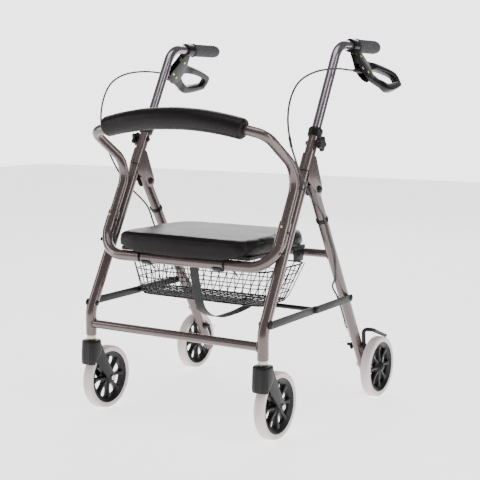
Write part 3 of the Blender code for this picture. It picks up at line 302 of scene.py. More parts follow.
class Shape:
    """Closed surfaces, each a grid of points, gathered into one mesh."""

    def __init__(self) -> None:
        """Starts with no points."""
        self.points: list[Array] = []
        self.faces: list[Array] = []
        self.sizes: list[Array] = []
        self.count = 0

    def grid(self, points: Array, loop: bool = False) -> "Shape":
        """Adds a surface that is closed around, and closed or capped along.

        Args:
            points: stations by points around by three.
            loop: whether the last station joins the first.

        Returns:
            This shape. The faces are turned so that the volume inside is positive.
        """
        stations, around = points.shape[:2]
        index = np.arange(stations * around).reshape(stations, around)
        if loop:
            index = np.vstack([index, index[:1]])
        index = np.hstack([index, index[:, :1]])
        quads = quads_of(index)
        flat = points.reshape(-1, 3)
        a, b, c, d = (flat[quads[:, i]] - flat.mean(axis=0) for i in range(4))
        volumes = np.einsum("ij,ij->i", a, np.cross(b, c)) + np.einsum("ij,ij->i", a, np.cross(c, d))
        inside_out = volumes.sum() < 0
        caps = [] if loop else [index[0, :-1][::-1], index[-1, :-1]]
        if inside_out:
            quads = quads[:, ::-1]
            caps = [cap[::-1] for cap in caps]
        self.faces.append(np.concatenate([quads.ravel(), *caps]) + self.count)
        self.sizes.append(np.concatenate([np.full(len(quads), 4), [len(cap) for cap in caps]]).astype(int))
        self.points.append(flat)
        self.count += len(flat)
        return self

    def rod(self, path: Points, radius: float | Array, sides: int = 16, edge: float = 0.0004) -> "Shape":
        """A solid round bar along a path, its end edges broken by a small chamfer."""
        path = np.asarray(path, float)
        radius = np.broadcast_to(np.asarray(radius, float), (len(path),)).copy()
        first, last = unit(path[1] - path[0]) * edge, unit(path[-2] - path[-1]) * edge
        path = np.vstack([path[0], path[0] + first, path[1:-1], path[-1] + last, path[-1]])
        radius = np.concatenate([[radius[0] - edge, radius[0]], radius[1:-1], [radius[-1], radius[-1] - edge]])
        return self.grid(tube_grid(path, radius, sides))

    def pipe(self, path: Array, radius: float | Array, wall: float = 0.0012, sides: int = 28) -> "Shape":
        """A hollow tube: out along the path at its radius, and back inside its wall."""
        outer = tube_grid(path, radius, sides)
        inner = tube_grid(path, np.asarray(radius) - wall, sides)
        return self.grid(np.concatenate([outer, inner[::-1]]), loop=True)

    def turned(self, profile: Points, centre: Sequence[float], axis: Sequence[float], sides: int = 40,
               loop: bool = False) -> "Shape":
        """A profile of (radius, along) pairs turned once round an axis through the centre."""
        profile = np.asarray(profile, float)
        axis = unit(axis)
        across = unit(np.cross(axis, (0.36, 0.48, 0.80) if abs(axis[2]) < 0.7 else X_AXIS))
        other = np.cross(axis, across)
        cosine, sine = ring(sides)
        out = across[None] * cosine[:, None] + other[None] * sine[:, None]
        points = np.asarray(centre) + profile[:, 1, None, None] * axis + profile[:, 0, None, None] * out[None]
        return self.grid(points, loop=loop)

    def plate(self, outline: Array, origin: Sequence[float], across: Sequence[float], up: Sequence[float],
              thickness: float, edge: float = 0.0006) -> "Shape":
        """A flat plate with softened edges. The outline is (across, up) pairs round its middle plane."""
        across, up = unit(across), unit(up)
        normal = np.cross(across, up)
        half = thickness / 2
        quarter = np.linspace(0, math.pi / 2, 4)
        rise, depth = edge * (1 - np.cos(quarter)), edge * (1 - np.sin(quarter))
        levels = np.concatenate([rise - half, (half - rise)[::-1]])
        rings = [inset(outline, inward) for inward in (*depth, *depth[::-1])]
        points = [np.asarray(origin) + r[:, :1] * across + r[:, 1:] * up + level * normal
                  for r, level in zip(rings, levels)]
        return self.grid(np.stack(points))

    def nut(self, centre: Sequence[float], axis: Sequence[float], radius: float, height: float) -> "Shape":
        """A hexagon nut or bolt head standing on the centre, with a domed top."""
        profile = [(radius, 0), (radius, height * 0.75), (radius * 0.86, height), (radius * 0.5, height * 1.08)]
        return self.turned(profile, centre, axis, 6)

    def dome(self, centre: Sequence[float], axis: Sequence[float], radius: float, height: float,
             sides: int = 24) -> "Shape":
        """A round cap: a quarter ellipse turned round its axis."""
        angle = np.linspace(0, math.pi / 2 * 0.96, 7)
        profile = np.stack([radius * np.cos(angle), height * np.sin(angle)], axis=1)
        return self.turned(np.vstack([[radius, -height * 0.2], profile]), centre, axis, sides)

    def build(self, name: str, finish: "Finish", body: str | None = None, slot: Slot | None = None,
              stands_for: Sequence[str] = (), crease: float = 38.0) -> bpy.types.Object:
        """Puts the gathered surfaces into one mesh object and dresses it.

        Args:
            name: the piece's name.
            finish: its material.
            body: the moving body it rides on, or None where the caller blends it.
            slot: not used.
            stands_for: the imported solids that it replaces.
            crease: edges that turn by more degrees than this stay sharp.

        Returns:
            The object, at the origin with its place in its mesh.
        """
        mesh = mesh_of(name, *(np.concatenate(part) for part in (self.points, self.faces, self.sizes)))
        mesh.shade_smooth()
        mesh.set_sharp_from_angle(angle=math.radians(crease))
        item = bpy.data.objects.new(name, mesh)
        bpy.context.scene.collection.objects.link(item)
        return dress(item, finish, body, stands_for)


def dress(item: bpy.types.Object, finish: "Finish", body: str | None,
          stands_for: Sequence[str] = ()) -> bpy.types.Object:
    """Gives a piece its material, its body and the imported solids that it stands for."""
    item.data.materials.clear()
    item.data.materials.append(finish.material())
    if body:
        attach(item, body)
    if stands_for:
        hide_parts(*stands_for)
    LOG.info("%s: %d faces", item.name, len(item.data.polygons))
    return item


def repaint(node: str, finish: "Finish") -> None:
    """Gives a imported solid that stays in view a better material."""
    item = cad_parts[node]
    item.data.materials.clear()
    item.data.materials.append(finish.material())


# ---- shader maths ----------------------------------------------------------------------------
class Value:
    """A shader socket with the arithmetic that the finishes use, each step of which adds a Math node."""

    def __init__(self, graph: "Graph", socket: bpy.types.NodeSocket) -> None:
        """Wraps one socket of a graph."""
        self.graph = graph
        self.socket = socket

    def _math(self, operation: str, first: Any, second: Any) -> "Value":
        """One Math node on two values, either of which may be a number."""
        return self.graph.node("ShaderNodeMath", {"operation": operation}, {0: first, 1: second})

    def __add__(self, other: Any) -> "Value":
        """self + other"""
        return self._math("ADD", self, other)

    def __radd__(self, other: Any) -> "Value":
        """other + self"""
        return self._math("ADD", other, self)

    def __rsub__(self, other: Any) -> "Value":
        """other - self"""
        return self._math("SUBTRACT", other, self)

    def __mul__(self, other: Any) -> "Value":
        """self * other"""
        return self._math("MULTIPLY", self, other)


class Graph:
    """The node tree of one material, with its Principled shader."""

    def __init__(self, name: str) -> None:
        """Starts a material of that name."""
        self.made = bpy.data.materials.new(name)
        self.made.use_nodes = True
        self.tree = self.made.node_tree
        self.shader = self.tree.nodes["Principled BSDF"]
        self.place = self.node("ShaderNodeTexCoord", output="Object")

    def node(self, kind: str, settings: dict[str, Any] | None = None, inputs: dict[Any, Any] | None = None,
             output: str | int = 0) -> Value:
        """Adds one node.

        Args:
            kind: the node's type.
            settings: its own settings, set before its sockets. A ramp's stops are under "stops".
            inputs: a number, a colour or a Value for each named or numbered input.
            output: the output wanted.

        Returns:
            That output.
        """
        made = self.tree.nodes.new(kind)
        for key, setting in (settings or {}).items():
            if key == "stops":
                for element, (position, shade) in zip(made.color_ramp.elements, setting):
                    element.position = position
                    element.color = (shade, shade, shade, 1.0)
            else:
                setattr(made, key, setting)
        for key, given in (inputs or {}).items():
            if isinstance(given, Value):
                self.tree.links.new(given.socket, made.inputs[key])
            else:
                made.inputs[key].default_value = given
        return Value(self, made.outputs[output])

    def noise(self, scale: float, detail: float = 2.0, stretch: Sequence[float] = (1, 1, 1)) -> Value:
        """Noise from 0 to 1 on Object coordinates, stretched along the axes."""
        place = self.node("ShaderNodeMapping", {}, {"Vector": self.place, "Scale": tuple(stretch)})
        return self.node("ShaderNodeTexNoise", {}, {"Vector": place, "Scale": scale, "Detail": detail}, "Fac")

    def cells(self, scale: float) -> Value:
        """The distance to the nearest cell wall of a Voronoi pattern on Object coordinates."""
        return self.node("ShaderNodeTexVoronoi", {"feature": "DISTANCE_TO_EDGE"},
                         {"Vector": self.place, "Scale": scale}, "Distance")

    def ramp(self, factor: Value, low: float, high: float) -> Value:
        """0 below the low stop, 1 above the high stop and smooth between them."""
        return self.node("ShaderNodeValToRGB", {"stops": ((low, 0.0), (high, 1.0))}, {"Fac": factor})

    def mix(self, factor: Value, first: Sequence[float], second: Any) -> Value:
        """A colour mix by the factor."""
        first = (*first, 1.0) if not isinstance(first, Value) else first
        second = (*second, 1.0) if not isinstance(second, Value) else second
        return self.node("ShaderNodeMix", {"data_type": "RGBA"}, {0: factor, 6: first, 7: second}, 2)

    def surface(self, links: dict[str, Value], numbers: dict[str, Any], height: Value | None = None,
                depth: float = 0.0002, strength: float = 0.5) -> bpy.types.Material:
        """Feeds the shader.

        Args:
            links: what varies over the surface, by socket name.
            numbers: what is the same all over, by socket name.
            height: a height from 0 to 1 for the bump.
            depth: how deep that height is, in metres.
            strength: how much of it shows.

        Returns:
            The material.
        """
        for name, number in numbers.items():
            self.shader.inputs[name].default_value = number
        for name, link in links.items():
            self.tree.links.new(link.socket, self.shader.inputs[name])
        if height is not None:
            bump = self.node("ShaderNodeBump", {}, {"Height": height, "Distance": depth, "Strength": strength})
            self.tree.links.new(bump.socket, self.shader.inputs["Normal"])
        return self.made


Colour = tuple[float, float, float]


def shade(colour: Colour, factor: float) -> Colour:
    """The colour made lighter or darker."""
    return tuple(min(1.0, channel * factor) for channel in colour)


@dataclass(frozen=True)
class Finish:
    """A finish that makes its material once and then gives the same one."""

    name: str

    def material(self) -> bpy.types.Material:
        """The finish's material, made on first use."""
        return bpy.data.materials.get(self.name) or self.make()

    def make(self) -> bpy.types.Material:
        """Builds the material. Each kind of finish has its own."""
        raise NotImplementedError


@dataclass(frozen=True)
class Lacquer(Finish):
    """Metallic paint: fine flake under a clear coat, with faint handling haze and tiny scuffs."""

    colour: Colour
    roughness: float = 0.30
    metallic: float = 0.72
    coat: float = 0.5

    def make(self) -> bpy.types.Material:
        """Flake in the colour, haze in the roughness and orange peel in the bump."""
        graph = Graph(self.name)
        flake = graph.noise(1900, 1.0)
        cloud = graph.noise(9, 3.0)
        scuff = graph.ramp(graph.noise(60, 6.0, (1, 1, 0.25)), 0.66, 0.74)
        colour = graph.mix(flake, shade(self.colour, 0.92), shade(self.colour, 1.08))
        colour = graph.mix(cloud * 0.10, colour, shade(self.colour, 0.80))
        colour = graph.mix(scuff * 0.08, colour, shade(self.colour, 1.4))
        rough = self.roughness - 0.04 + cloud * 0.08 + scuff * 0.10
        return graph.surface({"Base Color": colour, "Roughness": rough},
                             {"Metallic": self.metallic, "Coat Weight": self.coat, "Coat Roughness": 0.10},
                             graph.noise(140, 2.0) + flake * 0.1, 0.00003, 0.05)


@dataclass(frozen=True)
class Moulded(Finish):
    """Moulded plastic or powder coat: a fine even grain, with rubbed and dusty patches."""

    colour: Colour
    roughness: float = 0.45
    grain: float = 900.0
    depth: float = 0.00008

    def make(self) -> bpy.types.Material:
        """Grain in the bump, rubbed patches in the roughness and dust in the colour."""
        graph = Graph(self.name)
        grain = graph.noise(self.grain, 3.0)
        patch = graph.noise(22, 4.0)
        dust = graph.ramp(graph.noise(150, 5.0), 0.60, 0.80)
        colour = graph.mix(patch, shade(self.colour, 0.75), shade(self.colour, 1.35))
        colour = graph.mix(dust * 0.08, colour, (0.05, 0.05, 0.05))
        rough = self.roughness - 0.08 + patch * 0.16 + dust * 0.08
        return graph.surface({"Base Color": colour, "Roughness": rough}, {"Specular IOR Level": 0.25}, grain,
                             self.depth, 0.25)


@dataclass(frozen=True)
class Vinyl(Finish):
    """Grained upholstery vinyl: leather cells, soft creases and a faint sheen."""

    colour: Colour
    roughness: float = 0.36

    def make(self) -> bpy.types.Material:
        """Cells and creases in the bump, and stretch patches in the colour and roughness."""
        graph = Graph(self.name)
        cells = graph.ramp(graph.cells(620), 0.0, 0.28)
        crease = graph.ramp(graph.noise(11, 3.0, (1.0, 0.45, 1.0)), 0.46, 0.54)
        soft = graph.noise(14, 2.0, (1.0, 0.6, 1.0))
        patch = graph.noise(7, 3.0)
        colour = graph.mix(patch, shade(self.colour, 0.8), shade(self.colour, 1.3))
        colour = graph.mix((1 - cells) * 0.5, colour, shade(self.colour, 0.45))
        rough = self.roughness - 0.05 + patch * 0.12 + (1 - cells) * 0.12
        height = cells * 0.10 + soft * 0.75 + crease * 0.15
        return graph.surface({"Base Color": colour, "Roughness": rough},
                             {"Sheen Weight": 0.02, "Sheen Roughness": 0.35,
                              "Sheen Tint": (1.0, 0.88, 0.84, 1.0), "Specular IOR Level": 0.16},
                             height, 0.0010, 0.45)


@dataclass(frozen=True)
class Tyre(Finish):
    """Solid grey tyre: a warm matt skin, scuffed and darker where it has rolled."""

    colour: Colour
    worn: Colour = (0.30, 0.25, 0.235)

    def make(self) -> bpy.types.Material:
        """Scuffs in the colour, patches in the roughness, and a fine skin in the bump."""
        graph = Graph(self.name)
        patch = graph.noise(30, 4.0)
        scuff = graph.ramp(graph.noise(120, 6.0, (0.4, 1, 1)), 0.58, 0.70)
        colour = graph.mix(patch, shade(self.colour, 0.9), shade(self.colour, 1.08))
        colour = graph.mix(scuff * 0.22, colour, self.worn)
        return graph.surface({"Base Color": colour, "Roughness": 0.50 + patch * 0.14}, {"Specular IOR Level": 0.4},
                             graph.noise(700, 3.0), 0.00012, 0.4)


@dataclass(frozen=True)
class Plated(Finish):
    """Bright or yellow zinc plate: drawn lines, small stains and uneven gloss."""

    colour: Colour
    stain: Colour = (0.30, 0.24, 0.15)
    roughness: float = 0.26

    def make(self) -> bpy.types.Material:
        """Stains in the colour and drawn lines in the roughness and bump."""
        graph = Graph(self.name)
        lines = graph.noise(500, 2.0, (1, 1, 0.06))
        stain = graph.ramp(graph.noise(180, 5.0), 0.55, 0.75)
        colour = graph.mix(stain * 0.35, self.colour, self.stain)
        return graph.surface({"Base Color": colour, "Roughness": self.roughness + lines * 0.14}, {"Metallic": 1.0},
                             lines, 0.00005, 0.4)


@dataclass(frozen=True)
class Webbing(Finish):
    """Woven strap: ribs along its length, crossed by the weft."""

    colour: Colour

    def make(self) -> bpy.types.Material:
        """Ribs across X by a wave, and weft along the drop by another, in bump and colour."""
        graph = Graph(self.name)
        ribs = graph.node("ShaderNodeTexWave", {"bands_direction": "X"},
                          {"Vector": graph.place, "Scale": 150.0, "Distortion": 0.0}, "Fac")
        weft = graph.node("ShaderNodeTexWave", {"bands_direction": "Z"},
                          {"Vector": graph.place, "Scale": 120.0, "Distortion": 0.4}, "Fac")
        weave = ribs * 0.65 + weft * 0.35
        fuzz = graph.noise(1500, 2.0)
        colour = graph.mix(weave * 0.8 + fuzz * 0.2, shade(self.colour, 0.45), shade(self.colour, 1.6))
        return graph.surface({"Base Color": colour, "Roughness": 0.80 + fuzz * 0.12},
                             {"Sheen Weight": 0.3, "Sheen Roughness": 0.5}, weave, 0.0005, 0.7)


@dataclass(frozen=True)
class PaleFloor(Finish):
    """The plain studio floor."""

    colour: Colour = (0.82, 0.82, 0.82)

    def make(self) -> bpy.types.Material:
        """A matt pale surface that also glows, so that it stays near the backdrop in brightness."""
        graph = Graph(self.name)
        colour = graph.mix(graph.noise(1.5, 2.0), shade(self.colour, 0.985), self.colour)
        return graph.surface({"Base Color": colour}, {"Roughness": 0.85, "Specular IOR Level": 0.1,
                                                     "Emission Color": (1.0, 1.0, 1.0, 1.0),
                                                     "Emission Strength": 2.0})


TAUPE = Lacquer("taupe_lacquer", (0.112, 0.085, 0.079), roughness=0.27, metallic=0.55)
SILVER_LILAC = Lacquer("silver_lilac_lacquer", (0.21, 0.185, 0.21), roughness=0.19, metallic=0.80, coat=0.7)
WELD = Moulded("painted_weld", (0.13, 0.10, 0.095), roughness=0.42, grain=300.0, depth=0.0004)
BLACK_PLASTIC = Moulded("black_moulding", (0.0055, 0.0050, 0.0055), roughness=0.40)
GLOSS_BLACK = Moulded("black_glossy_moulding", (0.0050, 0.0048, 0.0052), roughness=0.28, grain=250.0,
                      depth=0.00004)
BLACK_POWDER = Moulded("black_powder_coat", (0.0075, 0.0072, 0.0075), roughness=0.40, grain=500.0,
                       depth=0.00012)
DIPPED_WIRE = Moulded("dipped_wire", (0.0050, 0.0050, 0.0055), roughness=0.30, grain=160.0, depth=0.0002)
GRIP_RUBBER = Moulded("grip_rubber", (0.0065, 0.0062, 0.0065), roughness=0.58, grain=1100.0, depth=0.00006)
SLEEVE = Moulded("cable_sleeve", (0.0045, 0.0045, 0.0050), roughness=0.34, grain=400.0, depth=0.00004)
BLACK_VINYL = Vinyl("black_vinyl", (0.0075, 0.0058, 0.0058), roughness=0.34)
PIPING = Vinyl("vinyl_piping", (0.0060, 0.0052, 0.0054), roughness=0.40)
GREY_TYRE = Tyre("warm_grey_tyre", (0.66, 0.575, 0.560))
ZINC = Plated("bright_zinc", (0.62, 0.61, 0.58))
BRASSY_ZINC = Plated("brassy_zinc", (0.50, 0.47, 0.38), stain=(0.24, 0.20, 0.13))
YELLOW_ZINC = Plated("yellow_zinc", (0.62, 0.47, 0.20), stain=(0.40, 0.24, 0.10))
BLACK_WEBBING = Webbing("black_webbing", (0.020, 0.020, 0.021))


# ---- the places that the pieces share --------------------------------------------------------
@dataclass(frozen=True)
class Layout:
    """Where the walker's main lines run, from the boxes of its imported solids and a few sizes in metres."""

    tube_r: float = 0.0127
    inner_r: float = 0.0110
    cross_r: float = 0.0100
    wall: float = 0.0012
    slope: float = 0.541
    leg_foot: float = 0.190
    leg_bend: float = 0.250
    leg_top: float = 0.675
    saddle: float = 0.0012
    seat_tube_z: float = 0.382
    knob_z: float = 0.648
    front_pin_z: float = 0.266
    rear_pin_z: float = 0.268
    brace_half: float = 0.201
    fold_bar_r: float = 0.0055
    brake_gap: float = 0.024
    tilt: float = math.radians(31.0)

    @property
    def track(self) -> float:
        """Half the distance between the legs."""
        return float(centre_of("caster_stem_right")[0])

    @property
    def stem_y(self) -> float:
        """The Y of the caster stems, from which the other lines are measured."""
        return float(centre_of("caster_stem_right")[1])

    @property
    def hinge(self) -> Array:
        """The pivot of the right rear leg."""
        return centre_of("hinge_bolt_right")

    @property
    def wheel_r(self) -> float:
        """The radius of a wheel."""
        low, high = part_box("rear_wheel_right_tyre")
        return (high[2] - low[2]) / 2

    @property
    def cross_reach(self) -> float:
        """Half the length of a cross tube, whose ends are saddled onto the legs."""
        return self.track - self.tube_r + self.saddle

    @property
    def brace_pins(self) -> tuple[Array, Array, Array]:
        """The side braces' front pin, rear pin and middle joint, each as its Y and Z."""
        front = self.leg(Side.RIGHT, self.front_pin_z)[1:]
        rear = self.rear(Side.RIGHT, self.rear_pin_z)[1:]
        return front, rear, front + unit(rear - front) * self.brace_half

    @property
    def leg_line(self) -> Array:
        """The direction up a front leg."""
        return unit((0, self.slope, 1))

    @property
    def leg_back(self) -> Array:
        """The direction square to a front leg, towards the rear."""
        return np.cross(self.leg_line, X_AXIS)

    @property
    def rear_line(self) -> Array:
        """The direction down a rear leg."""
        return unit(centre_of("rear_wheel_right_tyre") * (0, 1, 1) - self.hinge * (0, 1, 1))

    def at(self, x: float, y: float, z: float) -> Array:
        """A point whose Y is measured from the caster stems."""
        return np.array([x, y + self.stem_y, z])

    def leg_y(self, z: float) -> float:
        """The Y of a front leg at a height, from the caster stems."""
        return self.slope * (z - self.leg_bend)

    def leg(self, side: Side, z: float) -> Array:
        """A point on a front leg's axis."""
        return self.at(side.value * self.track, self.leg_y(z), z)

    def rear(self, side: Side, z: float) -> Array:
        """A point on a rear leg's axis."""
        line = self.rear_line
        return np.array([side.value * self.track, self.hinge[1] + line[1] / line[2] * (z - self.hinge[2]), z])

    def beside(self, side: Side, z: float) -> Array:
        """A point on the axis of the seat tube's arm, which lies along the front of the leg."""
        return self.leg(side, z) + np.array([0, -(2 * self.tube_r + 0.0003) / self.leg_line[2], 0])

    def brake(self, side: Side, y: float, drop: float, out: float = 0.0) -> Array:
        """A point of the leaning brake: its Y, how far below the grip's axis, and how far off its plane."""
        grip = centre_of(f"grip_{side.label}")
        down = np.array([side.value * math.sin(self.tilt), 0, -math.cos(self.tilt)])
        off = np.array([side.value * math.cos(self.tilt), 0, math.sin(self.tilt)])
        return np.array([side.value * self.track, y, grip[2]]) + down * drop + off * out


LAYOUT = Layout()


# ---- front frame -----------------------------------------------------------------------------
@dataclass
class FrontFrame:
    """The two front legs, the cross tube, the U tube under the seat, and what is fixed to them."""

    layout: Layout = LAYOUT
    foot_radius: float = 0.060
    corner_radius: float = 0.062
    arm_top_z: float = 0.478
    cheek_gap: float = 0.0023
    bracket_z: tuple[float, float] = (0.585, 0.622)
    body: str = "front_frame"

    def build(self) -> None:
        """Builds every piece of the front frame."""
        for side in Side:
            self.leg(side)
            self.bracket(side)
            self.hinge_bolt(side)
            self.collar(side)
            self.small_fasteners(side)
        self.cross_tube()
        self.seat_tube()

    def leg(self, side: Side) -> None:
        """A leg: an upright foot, one bend, and a straight slope, as an open tube with pressed rivets."""
        lay = self.layout
        x = side.value * lay.track
        corners = [lay.at(x, 0, lay.leg_foot), lay.at(x, 0, lay.leg_bend), lay.leg(side, lay.leg_top)]
        path = rounded(corners, [self.foot_radius])
        shape = Shape().pipe(path, lay.tube_r, lay.wall, 32)
        shape.build(f"leg_tube_{side.label}", TAUPE, self.body, Slot.FRAME, [f"front_leg_{side.label}"])
        dots = Shape()
        for angle in (-90, 30, 150):
            out = np.array([math.cos(math.radians(angle)), math.sin(math.radians(angle)), 0])
            dots.dome(lay.at(x, 0, lay.leg_foot + 0.012) + out * (lay.tube_r - 0.0002), out, 0.0024, 0.0007, 16)
        dots.build(f"foot_rivets_{side.label}", TAUPE, self.body, Slot.FRAME)

    def cross_tube(self) -> None:
        """The lower cross tube and the weld bead round each of its ends."""
        lay = self.layout
        low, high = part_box("lower_cross_tube")
        z = (low[2] + high[2]) / 2
        line = spaced(np.array([lay.at(-lay.cross_reach, 0, z), lay.at(lay.cross_reach, 0, z)]), 0.04)
        Shape().pipe(line, lay.cross_r, lay.wall, 28).build("cross_tube", TAUPE, self.body, Slot.FRAME,
                                                            ["lower_cross_tube"])
        for side in Side:
            weld_ring(f"cross_weld_{side.label}", lay.at(side.value * lay.track, 0, z), Z_AXIS,
                      X_AXIS * -side.value, lay.tube_r, lay.cross_r, self.body)

    def seat_tube(self) -> None:
        """The U tube: two arms beside the legs, swaged where the backrest enters, and two wide corners."""
        lay = self.layout
        arms = [[lay.beside(side, self.arm_top_z), lay.beside(side, lay.seat_tube_z)] for side in Side]
        path = rounded(arms[0] + arms[1][::-1], [self.corner_radius] * 2)
        path = spaced(path, 0.0015)
        swage = 0.0010 * np.clip((0.050 - (self.arm_top_z - path[:, 2])) / 0.0016, 0, 1)
        Shape().pipe(path, lay.tube_r + swage, lay.wall, 32).build(
            "u_tube", TAUPE, self.body, Slot.FRAME, ["seat_front_tube"])

    def bracket(self, side: Side) -> None:
        """The folded sheet bracket: a web round the leg's front, and two cheeks that taper to the pivot."""
        lay = self.layout
        foot = lay.leg(side, lay.leg_bend)
        pivot = lay.hinge * (0, 1, 1) - foot * (0, 1, 1)
        along, back = pivot @ lay.leg_line, pivot @ lay.leg_back
        start, end = ((z - lay.leg_bend) / lay.leg_line[2] for z in self.bracket_z)
        outer = lay.tube_r + self.cheek_gap
        lobe = 0.0162
        angle = np.radians(np.linspace(38, 232, 22))
        round_end = np.stack([along + lobe * np.cos(angle), back + lobe * np.sin(angle)], axis=1)
        cheek = np.vstack([[[start, -0.006], [end, -0.006], [end, 0.008]], round_end, [[start - 0.021, -0.003]]])
        shape = Shape()
        for face in (-1, 1):
            origin = foot + X_AXIS * face * (outer - 0.001)
            shape.plate(cheek, origin, lay.leg_line, lay.leg_back, 0.0019, 0.0007)
        turn = np.linspace(math.pi, 2 * math.pi, 20)
        arc = np.stack([np.cos(turn), np.sin(turn)], axis=1)
        outline = np.vstack([arc * outer + (0, -0.002), (arc * (outer - 0.0019) + (0, -0.002))[::-1]])
        stations = np.linspace(start + 0.0005, end - 0.0005, 3)[:, None, None]
        across, back = outline[None, :, :1] * X_AXIS, outline[None, :, 1:] * lay.leg_back
        shape.grid(foot + stations * lay.leg_line + across + back)
        shape.build(f"pivot_bracket_{side.label}", TAUPE, self.body, Slot.FRAME,
                    [f"hinge_bracket_{side.label}"])

    def hinge_bolt(self, side: Side) -> None:
        """The pivot bolt of the rear leg, with a stepped black cap at each end."""
        centre = self.layout.hinge * (side.value, 1, 1)
        reach = self.layout.tube_r + self.cheek_gap
        shape = Shape().rod([centre - X_AXIS * reach, centre + X_AXIS * reach], 0.0045)
        for end in (-1, 1):
            base = centre + X_AXIS * end * (reach + 0.0002)
            profile = [(0.0088, 0), (0.0088, 0.0010), (0.0076, 0.0016), (0.0072, 0.0040), (0.0058, 0.0054),
                       (0.0030, 0.0058)]
            shape.turned(profile, base, X_AXIS * end, 32)
        shape.build(f"pivot_bolt_{side.label}", GLOSS_BLACK, self.body, Slot.PLASTIC,
                    [f"hinge_bolt_{side.label}"])

    def collar(self, side: Side) -> None:
        """The plastic ring over the leg's top, with a rolled lip round the handle tube."""
        lay = self.layout
        profile = [(0.0131, -0.014), (0.0160, -0.014), (0.0166, -0.0125), (0.0166, -0.0035), (0.0172, -0.002),
                   (0.0170, 0.003), (0.0160, 0.0052), (0.0126, 0.0058), (0.0115, 0.005), (0.0115, -0.002),
                   (0.0131, -0.003)]
        Shape().turned(profile, lay.leg(side, lay.leg_top), lay.leg_line, 48, loop=True).build(
            f"leg_collar_{side.label}", BLACK_PLASTIC, self.body, Slot.PLASTIC, [f"height_collar_{side.label}"])

    def small_fasteners(self, side: Side) -> None:
        """The bolts that hold the seat tube to the leg, the gold snap button and the knob's bolt head."""
        lay = self.layout
        inward = X_AXIS * -side.value
        bolts = Shape()
        for z in (0.413, 0.458):
            middle = (lay.beside(side, z) + lay.leg(side, z)) / 2
            bolts.rod([middle + inward * 0.011, middle - inward * 0.011], 0.0013, 12)
            bolts.dome(lay.beside(side, z) + inward * (lay.tube_r - 0.0004), inward, 0.0045, 0.0026)
            bolts.dome(lay.beside(side, z) - inward * (lay.tube_r - 0.0004), -inward, 0.0045, 0.0026)
        bolts.build(f"tube_bolts_{side.label}", GLOSS_BLACK, self.body, Slot.PLASTIC)
        front = -lay.leg_back
        button = Shape().dome(lay.beside(side, 0.466) + front * (lay.tube_r + 0.0005), front, 0.0034, 0.0026)
        button.build(f"snap_button_{side.label}", YELLOW_ZINC, self.body, Slot.ZINC)
        head = Shape()
        base = lay.leg(side, lay.knob_z) + inward * (lay.tube_r - 0.0002)
        head.turned([(0.0068, 0), (0.0068, 0.0010), (0.0052, 0.0011), (0.0050, 0.0034), (0.0036, 0.0042)], base,
                    inward, 28)
        head.build(f"clamp_bolt_{side.label}", GLOSS_BLACK, self.body, Slot.PLASTIC)


def weld_ring(name: str, centre: Array, tube_axis: Array, out: Array, tube_r: float, branch_r: float,
              body: str) -> None:
    """A rippled weld bead where a branch tube meets a main tube.

    Args:
        name: the piece's name.
        centre: where the two axes meet.
        tube_axis: the main tube's direction.
        out: the branch's direction, square to it.
        tube_r: the main tube's radius.
        branch_r: the branch's radius.
        body: the body it rides on.

    The bead's middle line is a circle of the branch's radius, pushed out onto the main tube's surface.
    """
    angle = turns(96)
    across = np.cross(tube_axis, out)
    reach = branch_r + 0.0006
    side_step = reach * np.cos(angle)
    height = np.sqrt(np.maximum(tube_r ** 2 - side_step ** 2, 0.0))
    along = reach * np.sin(angle)
    line = centre + side_step[:, None] * across + along[:, None] * tube_axis + height[:, None] * out
    radius = 0.0019 + 0.00028 * np.sin(angle * 22)
    _, normal, binormal = frames_along(np.vstack([line[-1], line, line[0]]), out)
    bead = circles(line, radius, normal[1:-1], binormal[1:-1], 10)
    Shape().grid(bead, loop=True).build(name, WELD, body, Slot.FRAME)


